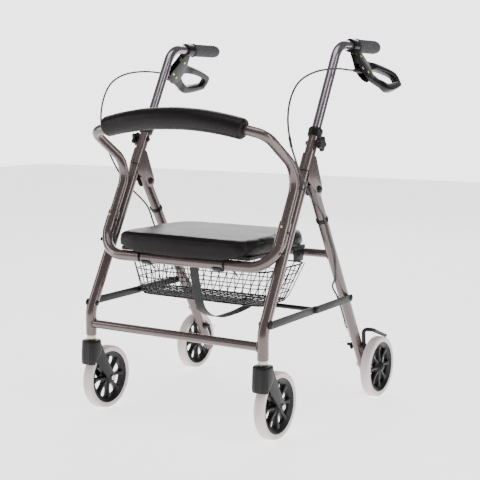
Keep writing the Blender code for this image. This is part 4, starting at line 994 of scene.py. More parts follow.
# ---- backrest --------------------------------------------------------------------------------
@dataclass
class Backrest:
    """The hoop that stands in the seat tube's arms, and the arched pad on it."""

    layout: Layout = LAYOUT
    foot_z: float = 0.440
    bend_z: float = 0.585
    hoop_r: float = 0.0115
    top: tuple[float, float] = (0.006, 0.684)
    pad_half: float = 0.187
    arch: float = 0.022
    bow: float = 0.004
    pad_r: float = 0.0255
    body: str = "front_frame"

    def build(self) -> None:
        """Builds the hoop and its pad."""
        self.hoop()
        self.pad()

    def hoop(self) -> None:
        """The hoop: up the arms, forward and in at the shoulders, and along the arch in the pad."""
        lay = self.layout
        y, z = self.top
        half = [lay.beside(Side.RIGHT, self.foot_z), lay.beside(Side.RIGHT, self.bend_z),
                lay.at(lay.track - 0.003, y + 0.0115, z - 0.0115), lay.at(self.pad_half, y, z)]
        other = [point * (-1, 1, 1) for point in half]
        crown = [lay.at(self.pad_half * share, y - self.bow, z + self.arch) for share in (-0.45, 0.45)]
        corners = other[:3] + crown + half[:3][::-1]
        path = rounded(corners, [0.060, 0.032, 0.20, 0.20, 0.032, 0.060])
        Shape().pipe(path, self.hoop_r, lay.wall, 28).build(
            "back_hoop", TAUPE, self.body, Slot.FRAME, ["backrest_tube"])

    def line(self, count: int) -> Array:
        """The pad's middle line: a parabola up and slightly forward."""
        across = np.linspace(-1, 1, count)
        rise = 1 - across ** 2
        return np.stack([self.pad_half * across, self.layout.stem_y + self.top[0] - self.bow * rise,
                         self.top[1] + self.arch * rise], axis=1)

    def pad(self) -> None:
        """The padded roll: a round section pulled in at its sewn ends, inflated, with a seam at each end."""
        line = self.line(75)
        along = np.abs(np.linspace(-1, 1, len(line)))
        tuck = np.sqrt(np.clip(1 - ((along - 0.975) / 0.025).clip(0, 1) ** 2, 0.0, 1))
        radius = (self.pad_r - 0.0010) * (1 - 0.03 * along ** 2) * (0.84 + 0.16 * tuck)
        pad = Shape().grid(tube_grid(line, radius, 36)).build("backrest_roll", BLACK_VINYL)
        inflate(pad, 0.0030, 0.0018)
        crumple(pad, 0.0004, (9.0, 9.0, 9.0))
        dress(pad, BLACK_VINYL, self.body, ["backrest_pad"])
        surface = tree_of(pad)
        seams = Shape()
        for share in (-0.95, 0.95):
            middle = self.line(201)[round((share + 1) * 100)]
            tangent = unit(np.array([1.0, 0.0, -2 * self.arch * share / self.pad_half]))
            across = unit(np.cross(tangent, Y_AXIS))
            cosine, sine = ring(72)
            guide = middle + 0.040 * (cosine[:, None] * across + sine[:, None] * np.cross(tangent, across))
            seams.grid(bead_on(surface, guide, middle, 0.0008, 0.6), loop=True)
        seams.build("backrest_seams", PIPING, self.body, Slot.VINYL)


# ---- soft pieces -----------------------------------------------------------------------------
CLOTH_FRAMES = 20
# The mean of nine waves seldom passes 1 / 1.8, so this brings the highest points near the full depth.
WAVE_GAIN = 1.8


def inflate(item: bpy.types.Object, voxel: float, reach: float, pressure: float = 4.0) -> None:
    """Remeshes a closed form evenly and blows it up as cloth under pressure.

    Args:
        item: the piece, which gets the result as its mesh.
        voxel: the remesh's cell, in metres.
        reach: the most that any point may move.
        pressure: the force of the air inside.
    """
    scene = bpy.context.scene
    remesh = item.modifiers.new("even", "REMESH")
    remesh.mode = "VOXEL"
    remesh.voxel_size = voxel
    item.data = bpy.data.meshes.new_from_object(item.evaluated_get(bpy.context.evaluated_depsgraph_get()))
    item.modifiers.clear()
    rest = coordinates(item.data)
    cloth = item.modifiers.new("cloth", "CLOTH")
    cloth.settings.quality = 4
    cloth.settings.mass = 0.2
    cloth.settings.use_pressure = True
    cloth.settings.uniform_pressure_force = pressure
    cloth.settings.shrink_min = -0.02
    cloth.settings.bending_stiffness = 0.3
    cloth.settings.effector_weights.gravity = 0.0
    cloth.point_cache.frame_start = 1
    cloth.point_cache.frame_end = CLOTH_FRAMES
    for number in range(1, CLOTH_FRAMES + 1):
        scene.frame_set(number)
    blown = item.evaluated_get(bpy.context.evaluated_depsgraph_get()).to_mesh()
    moved = coordinates(blown) - rest
    item.modifiers.clear()
    scene.frame_set(1)
    length = np.linalg.norm(moved, axis=1, keepdims=True)
    moved *= np.minimum(1.0, reach / np.maximum(length, 1e-9))
    move_points(item.data, rest + moved)
    relax = item.modifiers.new("relax", "SMOOTH")
    relax.factor = 0.5
    relax.iterations = 4
    fine = item.modifiers.new("fine", "SUBSURF")
    fine.levels = fine.render_levels = 1
    item.data = bpy.data.meshes.new_from_object(item.evaluated_get(bpy.context.evaluated_depsgraph_get()))
    item.modifiers.clear()
    item.data.shade_smooth()


def normals_of(mesh: bpy.types.Mesh) -> Array:
    """The mesh's point normals, one row each."""
    flat = np.empty(len(mesh.vertices) * 3, np.float32)
    mesh.vertex_normals.foreach_get("vector", flat)
    return flat.reshape(-1, 3).astype(float)


def crumple(item: bpy.types.Object, depth: float, scale: Sequence[float], seed: int = 7) -> None:
    """Moves the points in and out by soft waves, as loose cover material lies.

    Args:
        item: the piece.
        depth: about how far the highest points move, in metres.
        scale: waves per metre along each axis, before they are turned about.
        seed: fixes the waves' directions and phases.

    The height is the mean of nine sine waves whose directions lean at random off the axes.
    """
    random = np.random.default_rng(seed)
    points = coordinates(item.data)
    waves = np.asarray(scale) * random.uniform(0.4, 1.6, (9, 3)) * random.choice([-1, 1], (9, 3)) * 2 * math.pi
    height = np.sin(points @ waves.T + random.uniform(0, 2 * math.pi, 9)).mean(axis=1, keepdims=True)
    points += normals_of(item.data) * height * depth * WAVE_GAIN
    move_points(item.data, points)


def tree_of(item: bpy.types.Object) -> BVHTree:
    """A search tree of the piece's surface."""
    return BVHTree.FromObject(item, bpy.context.evaluated_depsgraph_get())


def bead_on(surface: BVHTree, guide: Array, middle: Array | None, radius: float, sink: float = 0.35) -> Array:
    """A closed round bead laid on a surface.

    Args:
        surface: the surface's search tree.
        guide: a closed line outside it.
        middle: the point that each guide point is cast towards, or None for the nearest surface point.
        radius: the bead's radius.
        sink: how deep the bead's middle lies under the surface, as a share of its radius.

    Returns:
        The bead as a grid that loops.
    """
    hits, outs = [], []
    for point in guide:
        start = Vector(point)
        if middle is None:
            place, normal, _, _ = surface.find_nearest(start)
        else:
            place, normal, _, _ = surface.ray_cast(start, (Vector(middle) - start).normalized())
        hits.append(tuple(place))
        outs.append(tuple(normal))
    hits, outs = np.array(hits), np.array(outs)
    for _ in range(3):
        hits = (np.roll(hits, 1, axis=0) + 2 * hits + np.roll(hits, -1, axis=0)) / 4
        outs = (np.roll(outs, 1, axis=0) + 2 * outs + np.roll(outs, -1, axis=0)) / 4
    line = hits - outs * radius * sink
    tangent = loop_tangents(line)
    outs = unit_rows(outs - tangent * np.einsum("ij,ij->i", outs, tangent)[:, None])
    return circles(line, radius, outs, np.cross(tangent, outs), 10)


@dataclass
class Seat:
    """The padded seat on its board, with piping round its top, corner seams and clips."""

    layout: Layout = LAYOUT
    shrink: float = 0.0035
    lip_run: float = 0.010
    lip_rise: float = 0.016
    squareness: float = 8.5
    body: str = "seat"

    def build(self) -> None:
        """Builds the cushion and its trim, and repaints the board and the clips."""
        low, high = (np.array(corner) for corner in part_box("seat_cushion"))
        board_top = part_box("seat_board")[1][2] + 0.0004
        cushion = self.cushion(low, high, board_top)
        inflate(cushion, 0.0038, 0.0036)
        self.settle(cushion, low, board_top)
        crumple(cushion, 0.0009, (4.0, 8.0, 4.0), seed=11)
        dress(cushion, BLACK_VINYL, self.body, ["seat_cushion"])
        self.trim(cushion, low, high)
        repaint("seat_board", BLACK_PLASTIC)
        for side in Side:
            repaint(f"seat_clip_{side.label}", BLACK_PLASTIC)
            self.corner_plate(side)

    def cushion(self, low: Array, high: Array, board_top: float) -> bpy.types.Object:
        """A crowned slab: rounded rectangles stacked from its flat underside to its crown."""
        half = (high - low) / 2 - self.shrink
        middle = (high + low) / 2
        base = board_top + self.shrink * 0.2
        height = high[2] - base - self.shrink
        level = np.array([0.0, 0.0, 0.12, 0.34, 0.58, 0.78, 0.90, 0.97, 1.0, 1.0, 1.0])
        pull = np.array([0.50, 0.985, 1.0, 1.0, 1.0, 0.995, 0.985, 0.960, 0.90, 0.60, 0.30])
        crown = np.array([0.0, 0, 0, 0, 0, 0.1, 0.3, 0.5, 0.75, 1.0, 1.1]) * 0.0035
        sides = 120
        cosine, sine = oval(sides, self.squareness)
        rim = np.stack([cosine * half[0], sine * half[1]], axis=1)
        waist = 1 - 0.010 * np.sin(np.arange(sides) / sides * 8 * math.pi) ** 2
        plan = middle[:2] + (rim * waist[:, None])[None] * pull[:, None, None]
        tall = np.broadcast_to((base + level * height + crown)[:, None, None], (len(level), sides, 1))
        return Shape().grid(np.concatenate([plan, tall], axis=2)).build("seat_cover", BLACK_VINYL)

    def settle(self, item: bpy.types.Object, low: Array, board_top: float) -> None:
        """Presses the underside flat onto the board and lets the front edge hang over the tube."""
        points = coordinates(item.data)
        points[:, 2] = np.maximum(points[:, 2], board_top)
        lay = self.layout
        tube_front = lay.beside(Side.RIGHT, lay.seat_tube_z)[1] - lay.tube_r - 0.0016
        lip = np.clip((tube_front - points[:, 1]) / self.lip_run, 0, 1)
        low_share = np.clip((board_top + self.lip_rise - points[:, 2]) / self.lip_rise, 0, 1)
        points[:, 2] -= lip * low_share * (board_top - low[2] + 0.0020)
        move_points(item.data, points)

    def trim(self, item: bpy.types.Object, low: Array, high: Array) -> None:
        """Piping round the cover's upper edge, and an upright seam at each front and rear corner."""
        surface = tree_of(item)
        middle = (low + high) / 2
        half = (high - low) / 2
        sides = 240
        cosine, sine = oval(sides, self.squareness)
        level = high[2] - 0.0065
        guide = np.stack([middle[0] + cosine * (half[0] + 0.006), middle[1] + sine * (half[1] + 0.006),
                          np.full(sides, level + 0.004)], axis=1)
        piping = Shape().grid(bead_on(surface, guide, None, 0.0014), loop=True)
        piping.build("seat_piping", PIPING, self.body, Slot.VINYL)
        seams = Shape()
        for right in (-1, 1):
            for back in (-1, 1):
                x = middle[0] + right * (half[0] + 0.010)
                y = middle[1] + back * (half[1] + 0.010)
                low_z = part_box("seat_board")[0][2] + (0.0 if back < 0 else 0.012)
                line = np.stack([np.full(14, x), np.full(14, y), np.linspace(low_z, high[2] - 0.008, 14)], axis=1)
                hits = np.array([tuple(surface.find_nearest(Vector(point))[0]) for point in line])
                seams.rod(spaced(hits, 0.01), 0.0009, 8, 0.0002)
        seams.build("seat_corner_seams", PIPING, self.body, Slot.VINYL)

    def corner_plate(self, side: Side) -> None:
        """The black plate under the seat's rear corner, with a rivet head on its outer face."""
        board_low, board_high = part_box("seat_board")
        rear = board_high[1]
        under = board_low[2]
        x = side.value * (board_high[0] - 0.004)
        outline = rounded_outline([(rear - 0.050, under - 0.030), (rear - 0.006, under - 0.030),
                                   (rear - 0.002, under - 0.0006), (rear - 0.052, under - 0.0006)], 0.006)
        shape = Shape().plate(outline, (x, 0, 0), Y_AXIS, Z_AXIS, 0.003)
        shape.dome((x + side.value * 0.0015, rear - 0.028, under - 0.016), X_AXIS * side.value, 0.005, 0.002)
        shape.build(f"seat_corner_plate_{side.label}", BLACK_PLASTIC, self.body, Slot.PLASTIC)


def rounded_outline(corners: Points, radius: float, step: float = 0.0015) -> Array:
    """A closed flat outline whose corners are arcs of one radius."""
    corners = [np.append(corner, 0.0) for corner in np.asarray(corners, float)]
    ring_of = [(corners[-1] + corners[0]) / 2, *corners, (corners[-1] + corners[0]) / 2]
    return rounded(ring_of, [radius] * len(corners), step)[:-1, :2]


# ---- basket ----------------------------------------------------------------------------------
@dataclass
class Basket:
    """The dipped wire basket: hoops round it, upright wires that run under its floor, and rim hooks."""

    layout: Layout = LAYOUT
    wire_r: float = 0.00125
    rim_r: float = 0.0020
    hook_r: float = 0.0150
    hoops: int = 5
    body: str = "basket"

    def build(self) -> None:
        """Builds the wires and the hooks."""
        self.measure()
        wires = Shape()
        for step in range(self.hoops):
            share = step / (self.hoops - 1)
            radius = self.rim_r if share in (0, 1) else self.wire_r
            wires.grid(tube_grid_loop(self.hoop(share), radius, 10), loop=True)
        for across in np.linspace(-0.93, 0.93, 17):
            wires.rod(self.runner(across, False), self.wire_r, 8, 0.0003)
        for across in np.linspace(-0.86, 0.86, 9):
            wires.rod(self.runner(across, True), self.wire_r, 8, 0.0003)
        nodes = [f"basket_{part}" for part in ("front", "back", "left", "right", "floor")]
        wires.build("wire_basket", DIPPED_WIRE, self.body, Slot.WIRE, nodes)
        self.hooks()

    def measure(self) -> None:
        """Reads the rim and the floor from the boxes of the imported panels."""
        front_low, front_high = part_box("basket_front")
        back_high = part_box("basket_back")[1]
        floor_low, floor_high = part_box("basket_floor")
        side_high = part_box("basket_right")[1]
        self.rim = (side_high[0] - 0.001, front_low[1], back_high[1], front_high[2] - 0.002)
        self.floor = (floor_high[0], floor_low[1], floor_high[1], floor_low[2] + 0.002)

    def level(self, share: float) -> tuple[float, float, float, float]:
        """Half width, front Y, rear Y and Z of the basket's outline, from its rim at 0 to its floor at 1."""
        return tuple(a + (b - a) * share for a, b in zip(self.rim, self.floor))

    def hoop(self, share: float) -> Array:
        """A rounded rectangle round the basket at one level."""
        half, front, rear, z = self.level(share)
        cosine, sine = oval(96, 9.0)
        middle, reach = (front + rear) / 2, (rear - front) / 2
        return np.stack([cosine * half, middle + sine * reach, np.full(96, z)], axis=1)

    def runner(self, across: float, sideways: bool) -> Array:
        """A wire down one wall, under the floor and up the other, with rounded turns."""
        top_half, top_front, top_rear, top_z = self.level(0)
        low_half, low_front, low_rear, low_z = self.level(1)
        if sideways:
            top_y, low_y = ((front + rear) / 2 + across * (rear - front) / 2
                            for front, rear in ((top_front, top_rear), (low_front, low_rear)))
            corners = [(-top_half, top_y, top_z), (-low_half, low_y, low_z), (low_half, low_y, low_z),
                       (top_half, top_y, top_z)]
        else:
            corners = [(across * top_half, top_front, top_z), (across * low_half, low_front, low_z),
                       (across * low_half, low_rear, low_z), (across * top_half, top_rear, top_z)]
        return rounded(corners, [0.014, 0.014], 0.004)

    def hooks(self) -> None:
        """The ring hooks that hang the rim on the seat tube's axis, as bent wire."""
        half, front, _, z = self.rim
        shape = Shape()
        tube = self.layout.beside(Side.RIGHT, self.layout.seat_tube_z)
        angle = np.radians(np.linspace(-35, 225, 18))
        for x in (-0.62 * half, 0.62 * half):
            loop = np.stack([np.full(len(angle), x), tube[1] + self.hook_r * np.cos(angle),
                             tube[2] + self.hook_r * np.sin(angle)], axis=1)
            tail = np.array([[x, front - 0.012, z - 0.002], [x, front, z - 0.014]])
            shape.rod(catmull(np.vstack([loop[::-1], tail]), 3), 0.0017, 10)
        shape.build("basket_hooks", DIPPED_WIRE, self.body, Slot.WIRE)


def tube_grid_loop(line: Array, radius: float, sides: int) -> Array:
    """A round section carried once round a closed level line, with one cross direction kept upright."""
    out = np.cross(loop_tangents(line), Z_AXIS)
    return circles(line, radius, out, np.broadcast_to(Z_AXIS, line.shape), sides)


# ---- wheels and casters ----------------------------------------------------------------------
@dataclass
class Wheel:
    """A soft grey tyre on a black spoked hub."""

    name: str
    body: str
    spokes: int = 8
    tyre_depth: float = 0.0135
    width: float = 0.025
    hub_width: float = 0.023

    def build(self) -> None:
        """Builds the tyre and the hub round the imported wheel's centre."""
        centre = centre_of(f"{self.name}_tyre")
        low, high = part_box(f"{self.name}_tyre")
        outer = (high[2] - low[2]) / 2
        seat = outer - self.tyre_depth
        self.tyre(centre, outer, seat)
        self.hub(centre, seat - 0.0002)

    def tyre(self, centre: Array, outer: float, seat: float) -> None:
        """A turned profile: flat tread with two thin grooves, round shoulders and a bead at the rim."""
        half = self.width / 2
        turn = np.linspace(0, math.pi / 2, 8)
        shoulder = 0.0056
        right = np.stack([outer - shoulder + shoulder * np.cos(turn), half - shoulder + shoulder * np.sin(turn)],
                         axis=1)
        wall = np.array([[outer - 0.0085, half - 0.0001], [outer - 0.0092, half - 0.0007],
                         [outer - 0.0099, half - 0.0002], [seat + 0.0012, half - 0.0006],
                         [seat, half - 0.0016]])
        tread = np.array([[outer, 0.0], [outer, 0.0022], [outer - 0.0007, 0.0026], [outer, 0.0030]])
        one = np.vstack([tread, right, wall])
        profile = np.vstack([one, (one * (1, -1))[:0:-1]])
        Shape().turned(profile, centre, X_AXIS, 120, loop=True).build(
            f"{self.name}_grey_tyre", GREY_TYRE, self.body, Slot.TYRE, [f"{self.name}_tyre"], 50.0)

    def hub(self, centre: Array, radius: float) -> None:
        """Rim, boss and ribbed spokes that widen to the rim, which leave triangular windows between them."""
        half = self.hub_width / 2
        shape = Shape()
        rim = [(radius, -half), (radius - 0.0016, -half - 0.0004), (radius - 0.0034, -half + 0.0006),
               (radius - 0.0095, -0.0066), (radius - 0.0125, -0.0045), (radius - 0.0125, 0.0045),
               (radius - 0.0095, 0.0066), (radius - 0.0034, half - 0.0006), (radius - 0.0016, half + 0.0004),
               (radius, half)]
        shape.turned(rim, centre, X_AXIS, 96, loop=True)
        boss = [(0.0047, -half - 0.0002), (0.0095, -half - 0.0002), (0.0110, -half + 0.0008), (0.0125, -0.0065),
                (0.0215, -0.0046), (0.0225, 0.0), (0.0215, 0.0046), (0.0125, 0.0065), (0.0110, half - 0.0008),
                (0.0095, half + 0.0002), (0.0047, half + 0.0002)]
        shape.turned(boss, centre, X_AXIS, 48, loop=True)
        inner, reach = 0.0145, radius - 0.0108
        share = np.linspace(0, 1, 9)
        width = 0.0039 + 0.0010 * (2 * share - 1) ** 2 + 0.0035 * share ** 6
        depth = 0.0085 - 0.0022 * np.sin(share * math.pi)
        cosine, sine = oval(16, 5.0)
        for turn in range(self.spokes):
            angle = 2 * math.pi * turn / self.spokes
            out = np.array([0, math.cos(angle), math.sin(angle)])
            across = np.array([0, -math.sin(angle), math.cos(angle)])
            line = centre + (inner + (reach - inner) * share)[:, None] * out
            shape.grid(line[:, None] + (width[:, None] * cosine)[:, :, None] * across
                       + (depth[:, None] * sine)[:, :, None] * X_AXIS)
        shape.build(f"{self.name}_spoked_hub", BLACK_PLASTIC, self.body, Slot.PLASTIC, [f"{self.name}_hub"])


@dataclass
class Caster:
    """The swivelling fork with its stem nut, axle and wheel."""

    side: Side
    layout: Layout = LAYOUT
    head_r: float = 0.0195
    arm: float = 0.0042
    play: float = 0.0030

    def build(self) -> None:
        """Builds the fork, the stem, the axle and the wheel."""
        label = self.side.label
        self.body = f"caster_{label}"
        self.wheel = centre_of(f"front_wheel_{label}_tyre")
        low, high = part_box(f"caster_fork_{label}")
        self.top = high[2]
        self.half = (high[0] - low[0]) / 2
        self.stem = centre_of(f"caster_stem_{label}")
        self.fork()
        self.stem_nut()
        self.axle()
        Wheel(f"front_wheel_{label}", f"front_wheel_{label}").build()

    def fork(self) -> None:
        """A ribbed housing round the stem whose underside follows the tyre, and two arms to the axle."""
        lay, middle = self.layout, self.stem
        clear = lay.wheel_r + self.play
        shape = Shape()
        angle = turns(112)
        cosine, sine = oval(len(angle), 3.2)
        front = np.clip(-np.sin(angle), 0, 1) ** 0.6
        ribs = 0.0008 * np.clip(np.cos(angle * 14), 0, 1) * front
        share = np.array([0.0, 0.0, 0.02, 0.06, 0.14, 0.45, 0.80, 0.95, 1.0])
        scale = np.array([0.35, 0.86, 0.94, 0.985, 1.0, 1.02, 1.04, 1.03, 1.0])
        half_x, half_y = self.head_r + 0.0012, self.head_r
        rib_share = np.clip((share - 0.2) / 0.1, 0, 1)[:, None]
        x = scale[:, None] * half_x * cosine * (1 + rib_share * ribs / half_x)
        y = scale[:, None] * half_y * sine * (1 + rib_share * ribs / half_y)
        gap = y + middle[1] - self.wheel[1]
        underside = self.wheel[2] + np.sqrt(np.maximum(clear ** 2 - gap ** 2, 0))
        underside = np.maximum(underside, self.top - 0.058)
        z = self.top + share[:, None] * (underside - self.top)
        shape.grid(np.stack([x + middle[0], y + middle[1], z], axis=2))
        eye = self.wheel[1:]
        turn = np.radians(np.linspace(62, -152, 22))
        lobe = np.stack([np.cos(turn), np.sin(turn)], axis=1) * 0.0125 + eye
        stem_y, top = middle[1], self.top
        front_run = catmull([(stem_y + 0.014, eye[1] + 0.028), (stem_y + 0.000, eye[1] + 0.044),
                             (stem_y - 0.010, eye[1] + 0.062)], 5)
        back_run = catmull([(stem_y + 0.012, top - 0.006), (stem_y + 0.022, top - 0.026),
                            (stem_y + 0.040, top - 0.058)], 5)
        outline = np.vstack([back_run, lobe, front_run])
        for end in (-1, 1):
            plane = middle[0] + end * (self.half - self.arm / 2)
            shape.plate(outline, (plane, 0, 0), Y_AXIS, Z_AXIS, self.arm, 0.0013)
            boss = [(0.0046, -0.001), (0.0092, -0.001), (0.0092, 0.0012), (0.0080, 0.0020), (0.0046, 0.0020)]
            shape.turned(boss, (middle[0] + end * (self.half - 0.0018), *eye), X_AXIS * end, 32, loop=True)
        shape.build(f"fork_housing_{self.side.label}", BLACK_PLASTIC, self.body, Slot.PLASTIC,
                    [f"caster_fork_{self.side.label}"], 42.0)

    def stem_nut(self) -> None:
        """The two washers and the nut between the fork and the leg, on the stem."""
        low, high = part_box(f"caster_stem_{self.side.label}")
        x, y = self.stem[:2]
        shape = Shape().rod([(x, y, low[2]), (x, y, high[2])], 0.0058)
        shape.turned([(0.0115, 0), (0.0118, 0.0005), (0.0118, 0.0018), (0.0112, 0.0022), (0.006, 0.0022)],
                     (x, y, low[2]), Z_AXIS, 40)
        shape.turned([(0.0098, 0), (0.0106, 0.0006), (0.0106, 0.0066), (0.0098, 0.0072), (0.006, 0.0072)],
                     (x, y, low[2] + 0.0024), Z_AXIS, 6)
        shape.turned([(0.0112, 0), (0.0112, 0.0012), (0.006, 0.0012)], (x, y, low[2] + 0.0098), Z_AXIS, 40)
        shape.build(f"stem_nut_{self.side.label}", BRASSY_ZINC, self.body, Slot.ZINC,
                    [f"caster_stem_{self.side.label}"])

    def axle(self) -> None:
        """The axle bolt with a nut at each end."""
        reach = self.half + 0.0002
        centre = self.wheel
        shape = Shape().rod([centre - X_AXIS * reach, centre + X_AXIS * reach], 0.0040)
        for end in (-1, 1):
            base = centre + X_AXIS * end * (reach + 0.0002)
            shape.nut(base, X_AXIS * end, 0.0070, 0.0032)
        shape.build(f"fork_axle_{self.side.label}", ZINC, self.body, Slot.ZINC,
                    [f"caster_axle_{self.side.label}"])


# ---- rear frame ------------------------------------------------------------------------------
@dataclass
class RearFrame:
    """The rear legs, the rest tube, the axles and the rear brakes."""

    layout: Layout = LAYOUT
    rest_z: float = 0.382
    arm_z: float = 0.132
    body: str = "rear_frame"

    def build(self) -> None:
        """Builds both sides and the tube between them."""
        for side in Side:
            self.leg(side)
            self.axle(side)
            self.brake_arm(side)
            self.adjuster(side)
            Wheel(f"rear_wheel_{side.label}", f"rear_wheel_{side.label}").build()
        self.rest_tube()

    def leg(self, side: Side) -> None:
        """A straight tube from the pivot to the axle, with a black plug in each end and the cable's ring."""
        lay = self.layout
        line = lay.rear_line
        start = lay.hinge * (side.value, 1, 1) - line * 0.018
        foot = centre_of(f"rear_wheel_{side.label}_tyre") * (0, 1, 1) + X_AXIS * side.value * lay.track
        end = foot + line * 0.0155
        Shape().pipe(spaced(np.array([start, end]), 0.03), lay.tube_r, lay.wall, 32).build(
            f"rear_tube_{side.label}", TAUPE, self.body, Slot.FRAME, [f"rear_leg_{side.label}"])
        plugs = Shape()
        for place, out in ((start, -line), (end, line)):
            plugs.turned([(0.0112, -0.006), (0.0112, 0.0), (0.0126, 0.0002), (0.0124, 0.0010), (0.0080, 0.0016)],
                         place, out, 36)
        plugs.build(f"rear_plugs_{side.label}", BLACK_PLASTIC, self.body, Slot.PLASTIC)
        ring_z = 0.470
        cable = Shape()
        middle = lay.rear(side, ring_z)
        out = np.array([side.value, 0, 0])
        profile = [(0.0129, -0.0045), (0.0146, -0.0045), (0.0149, -0.003), (0.0149, 0.003), (0.0146, 0.0045),
                   (0.0129, 0.0045)]
        cable.turned(profile, middle, line, 40, loop=True)
        seat = middle + out * 0.0150 - Y_AXIS * 0.004
        cable.rod([seat - line * 0.0045, seat + line * 0.0045], 0.0030, 14)
        cable.build(f"cable_ring_{side.label}", BLACK_PLASTIC, self.body, Slot.PLASTIC)

    def rest_tube(self) -> None:
        """The cross tube that the seat lies on, and its weld beads."""
        lay = self.layout
        middle = lay.rear(Side.RIGHT, self.rest_z) * (0, 1, 1)
        reach = X_AXIS * lay.cross_reach
        line = spaced(np.array([middle - reach, middle + reach]), 0.04)
        Shape().pipe(line, lay.cross_r, lay.wall, 28).build("rest_tube", TAUPE, self.body, Slot.FRAME,
                                                            ["seat_rest_tube"])
        for side in Side:
            weld_ring(f"rest_weld_{side.label}", lay.rear(side, self.rest_z), lay.rear_line, X_AXIS * -side.value,
                      lay.tube_r, lay.cross_r, self.body)

    def axle(self, side: Side) -> None:
        """The axle bolt through the leg, with its spacer sleeve, washer and nuts, and the wheel's cap."""
        lay = self.layout
        wheel = centre_of(f"rear_wheel_{side.label}_tyre")
        out = X_AXIS * side.value
        leg = wheel * (0, 1, 1) + out * lay.track
        hub_half = Wheel.hub_width / 2
        shape = Shape().rod([leg - out * (lay.tube_r + 0.003), wheel + out * (hub_half + 0.0035)], 0.0040)
        shape.rod([leg + out * (lay.tube_r + 0.0003), wheel - out * (hub_half + 0.0006)], 0.0068, 28)
        shape.nut(leg - out * (lay.tube_r + 0.0003), -out, 0.0070, 0.0042)
        shape.turned([(0.0088, 0), (0.0088, 0.0011), (0.0045, 0.0011)], wheel + out * (hub_half + 0.0006), out, 32)
        shape.nut(wheel + out * (hub_half + 0.0017), out, 0.0068, 0.0026)
        cap = Shape().dome(wheel + out * (hub_half + 0.0006), out, 0.0094, 0.0062, 28)
        cap.build(f"axle_cap_{side.label}", BLACK_PLASTIC, f"rear_wheel_{side.label}", Slot.PLASTIC)
        shape.build(f"wheel_bolt_{side.label}", ZINC, self.body, Slot.ZINC, [f"rear_axle_{side.label}"])

    def brake_arm(self, side: Side) -> None:
        """The bent bar that presses on the tyre, its pivot boss, and the crank that the wire pulls."""
        lay = self.layout
        middle = lay.rear(side, self.arm_z)
        wheel = centre_of(f"rear_wheel_{side.label}_tyre")
        out = X_AXIS * side.value
        face = lay.tube_r + 0.0003
        clear = lay.wheel_r + 0.0088
        top_z = wheel[2] + clear + 0.0148
        start = middle + out * (face + 0.0045)
        heel = np.array([start[0], middle[1] - 0.004, top_z])
        corner = np.array([wheel[0], heel[1] + 0.006, top_z])
        lean = math.radians(34.5)
        tip = wheel + np.array([0, clear * math.sin(lean), clear * math.cos(lean)])
        path = rounded([start, heel, corner, tip], [0.010, 0.007], 0.002)
        along = np.linspace(0, 1, len(path))
        shape = Shape().rod(path, 0.0050 - 0.0005 * np.clip((along - 0.62) / 0.2, 0, 1), 20, 0.0012)
        shape.turned([(0.0092, 0), (0.0096, 0.0008), (0.0096, 0.0064), (0.0084, 0.0075), (0.003, 0.0078)],
                     middle + out * face, out, 32)
        shape.rod([middle - out * (face + 0.0158), middle + out * (face + 0.004)], 0.0040, 18)
        crank = stadium((middle[1], middle[2]), (middle[1] - 0.002, middle[2] - 0.004), 0.0072)
        shape.plate(crank, middle * (1, 0, 0) - out * (face + 0.0030), Y_AXIS, Z_AXIS, 0.0036)
        shape.build(f"tyre_brake_{side.label}", BLACK_POWDER, f"brake_arm_{side.label}", Slot.BLACK_STEEL,
                    [f"brake_arm_{side.label}"])

    def adjuster(self, side: Side) -> None:
        """The cable's black tab and its bright threaded adjuster on the inner side of the leg."""
        lay = self.layout
        inward = X_AXIS * -side.value
        tab_z, screw_z = 0.186, 0.200
        base = lay.rear(side, tab_z) + inward * (lay.tube_r - 0.0006)
        tab = Shape().plate(stadium((base[1], base[2]), (base[1], base[2] + 0.012), 0.0065),
                            base * (1, 0, 0) + inward * 0.0010, Y_AXIS, Z_AXIS, 0.0020)
        tab.build(f"adjuster_tab_{side.label}", BLACK_POWDER, self.body, Slot.BLACK_STEEL)
        line = lay.rear_line
        top = lay.rear(side, screw_z) + inward * (lay.tube_r + 0.0045)
        screw = Shape()
        thread = np.linspace(0, 1, 45)
        radius = 0.0026 + 0.00022 * np.cos(thread * 44 * math.pi)
        screw.grid(tube_grid(top + thread[:, None] * line * 0.024, radius, 20))
        screw.nut(top + line * 0.007, line, 0.0050, 0.0030)
        screw.nut(top + line * 0.014, line, 0.0046, 0.0026)
        screw.build(f"cable_adjuster_{side.label}", ZINC, self.body, Slot.ZINC)
        tail = top + line * 0.056
        wire = Shape().rod([top + line * 0.022, tail], 0.0009, 8, 0.0002)
        wire.rod(catmull([tail, tail + inward * 0.006 + line * 0.010, tail + inward * 0.020 + line * 0.018,
                          tail + inward * 0.034 + line * 0.022], 6), 0.0007, 8, 0.0002)
        wire.build(f"inner_wire_{side.label}", ZINC, self.body, Slot.ZINC)


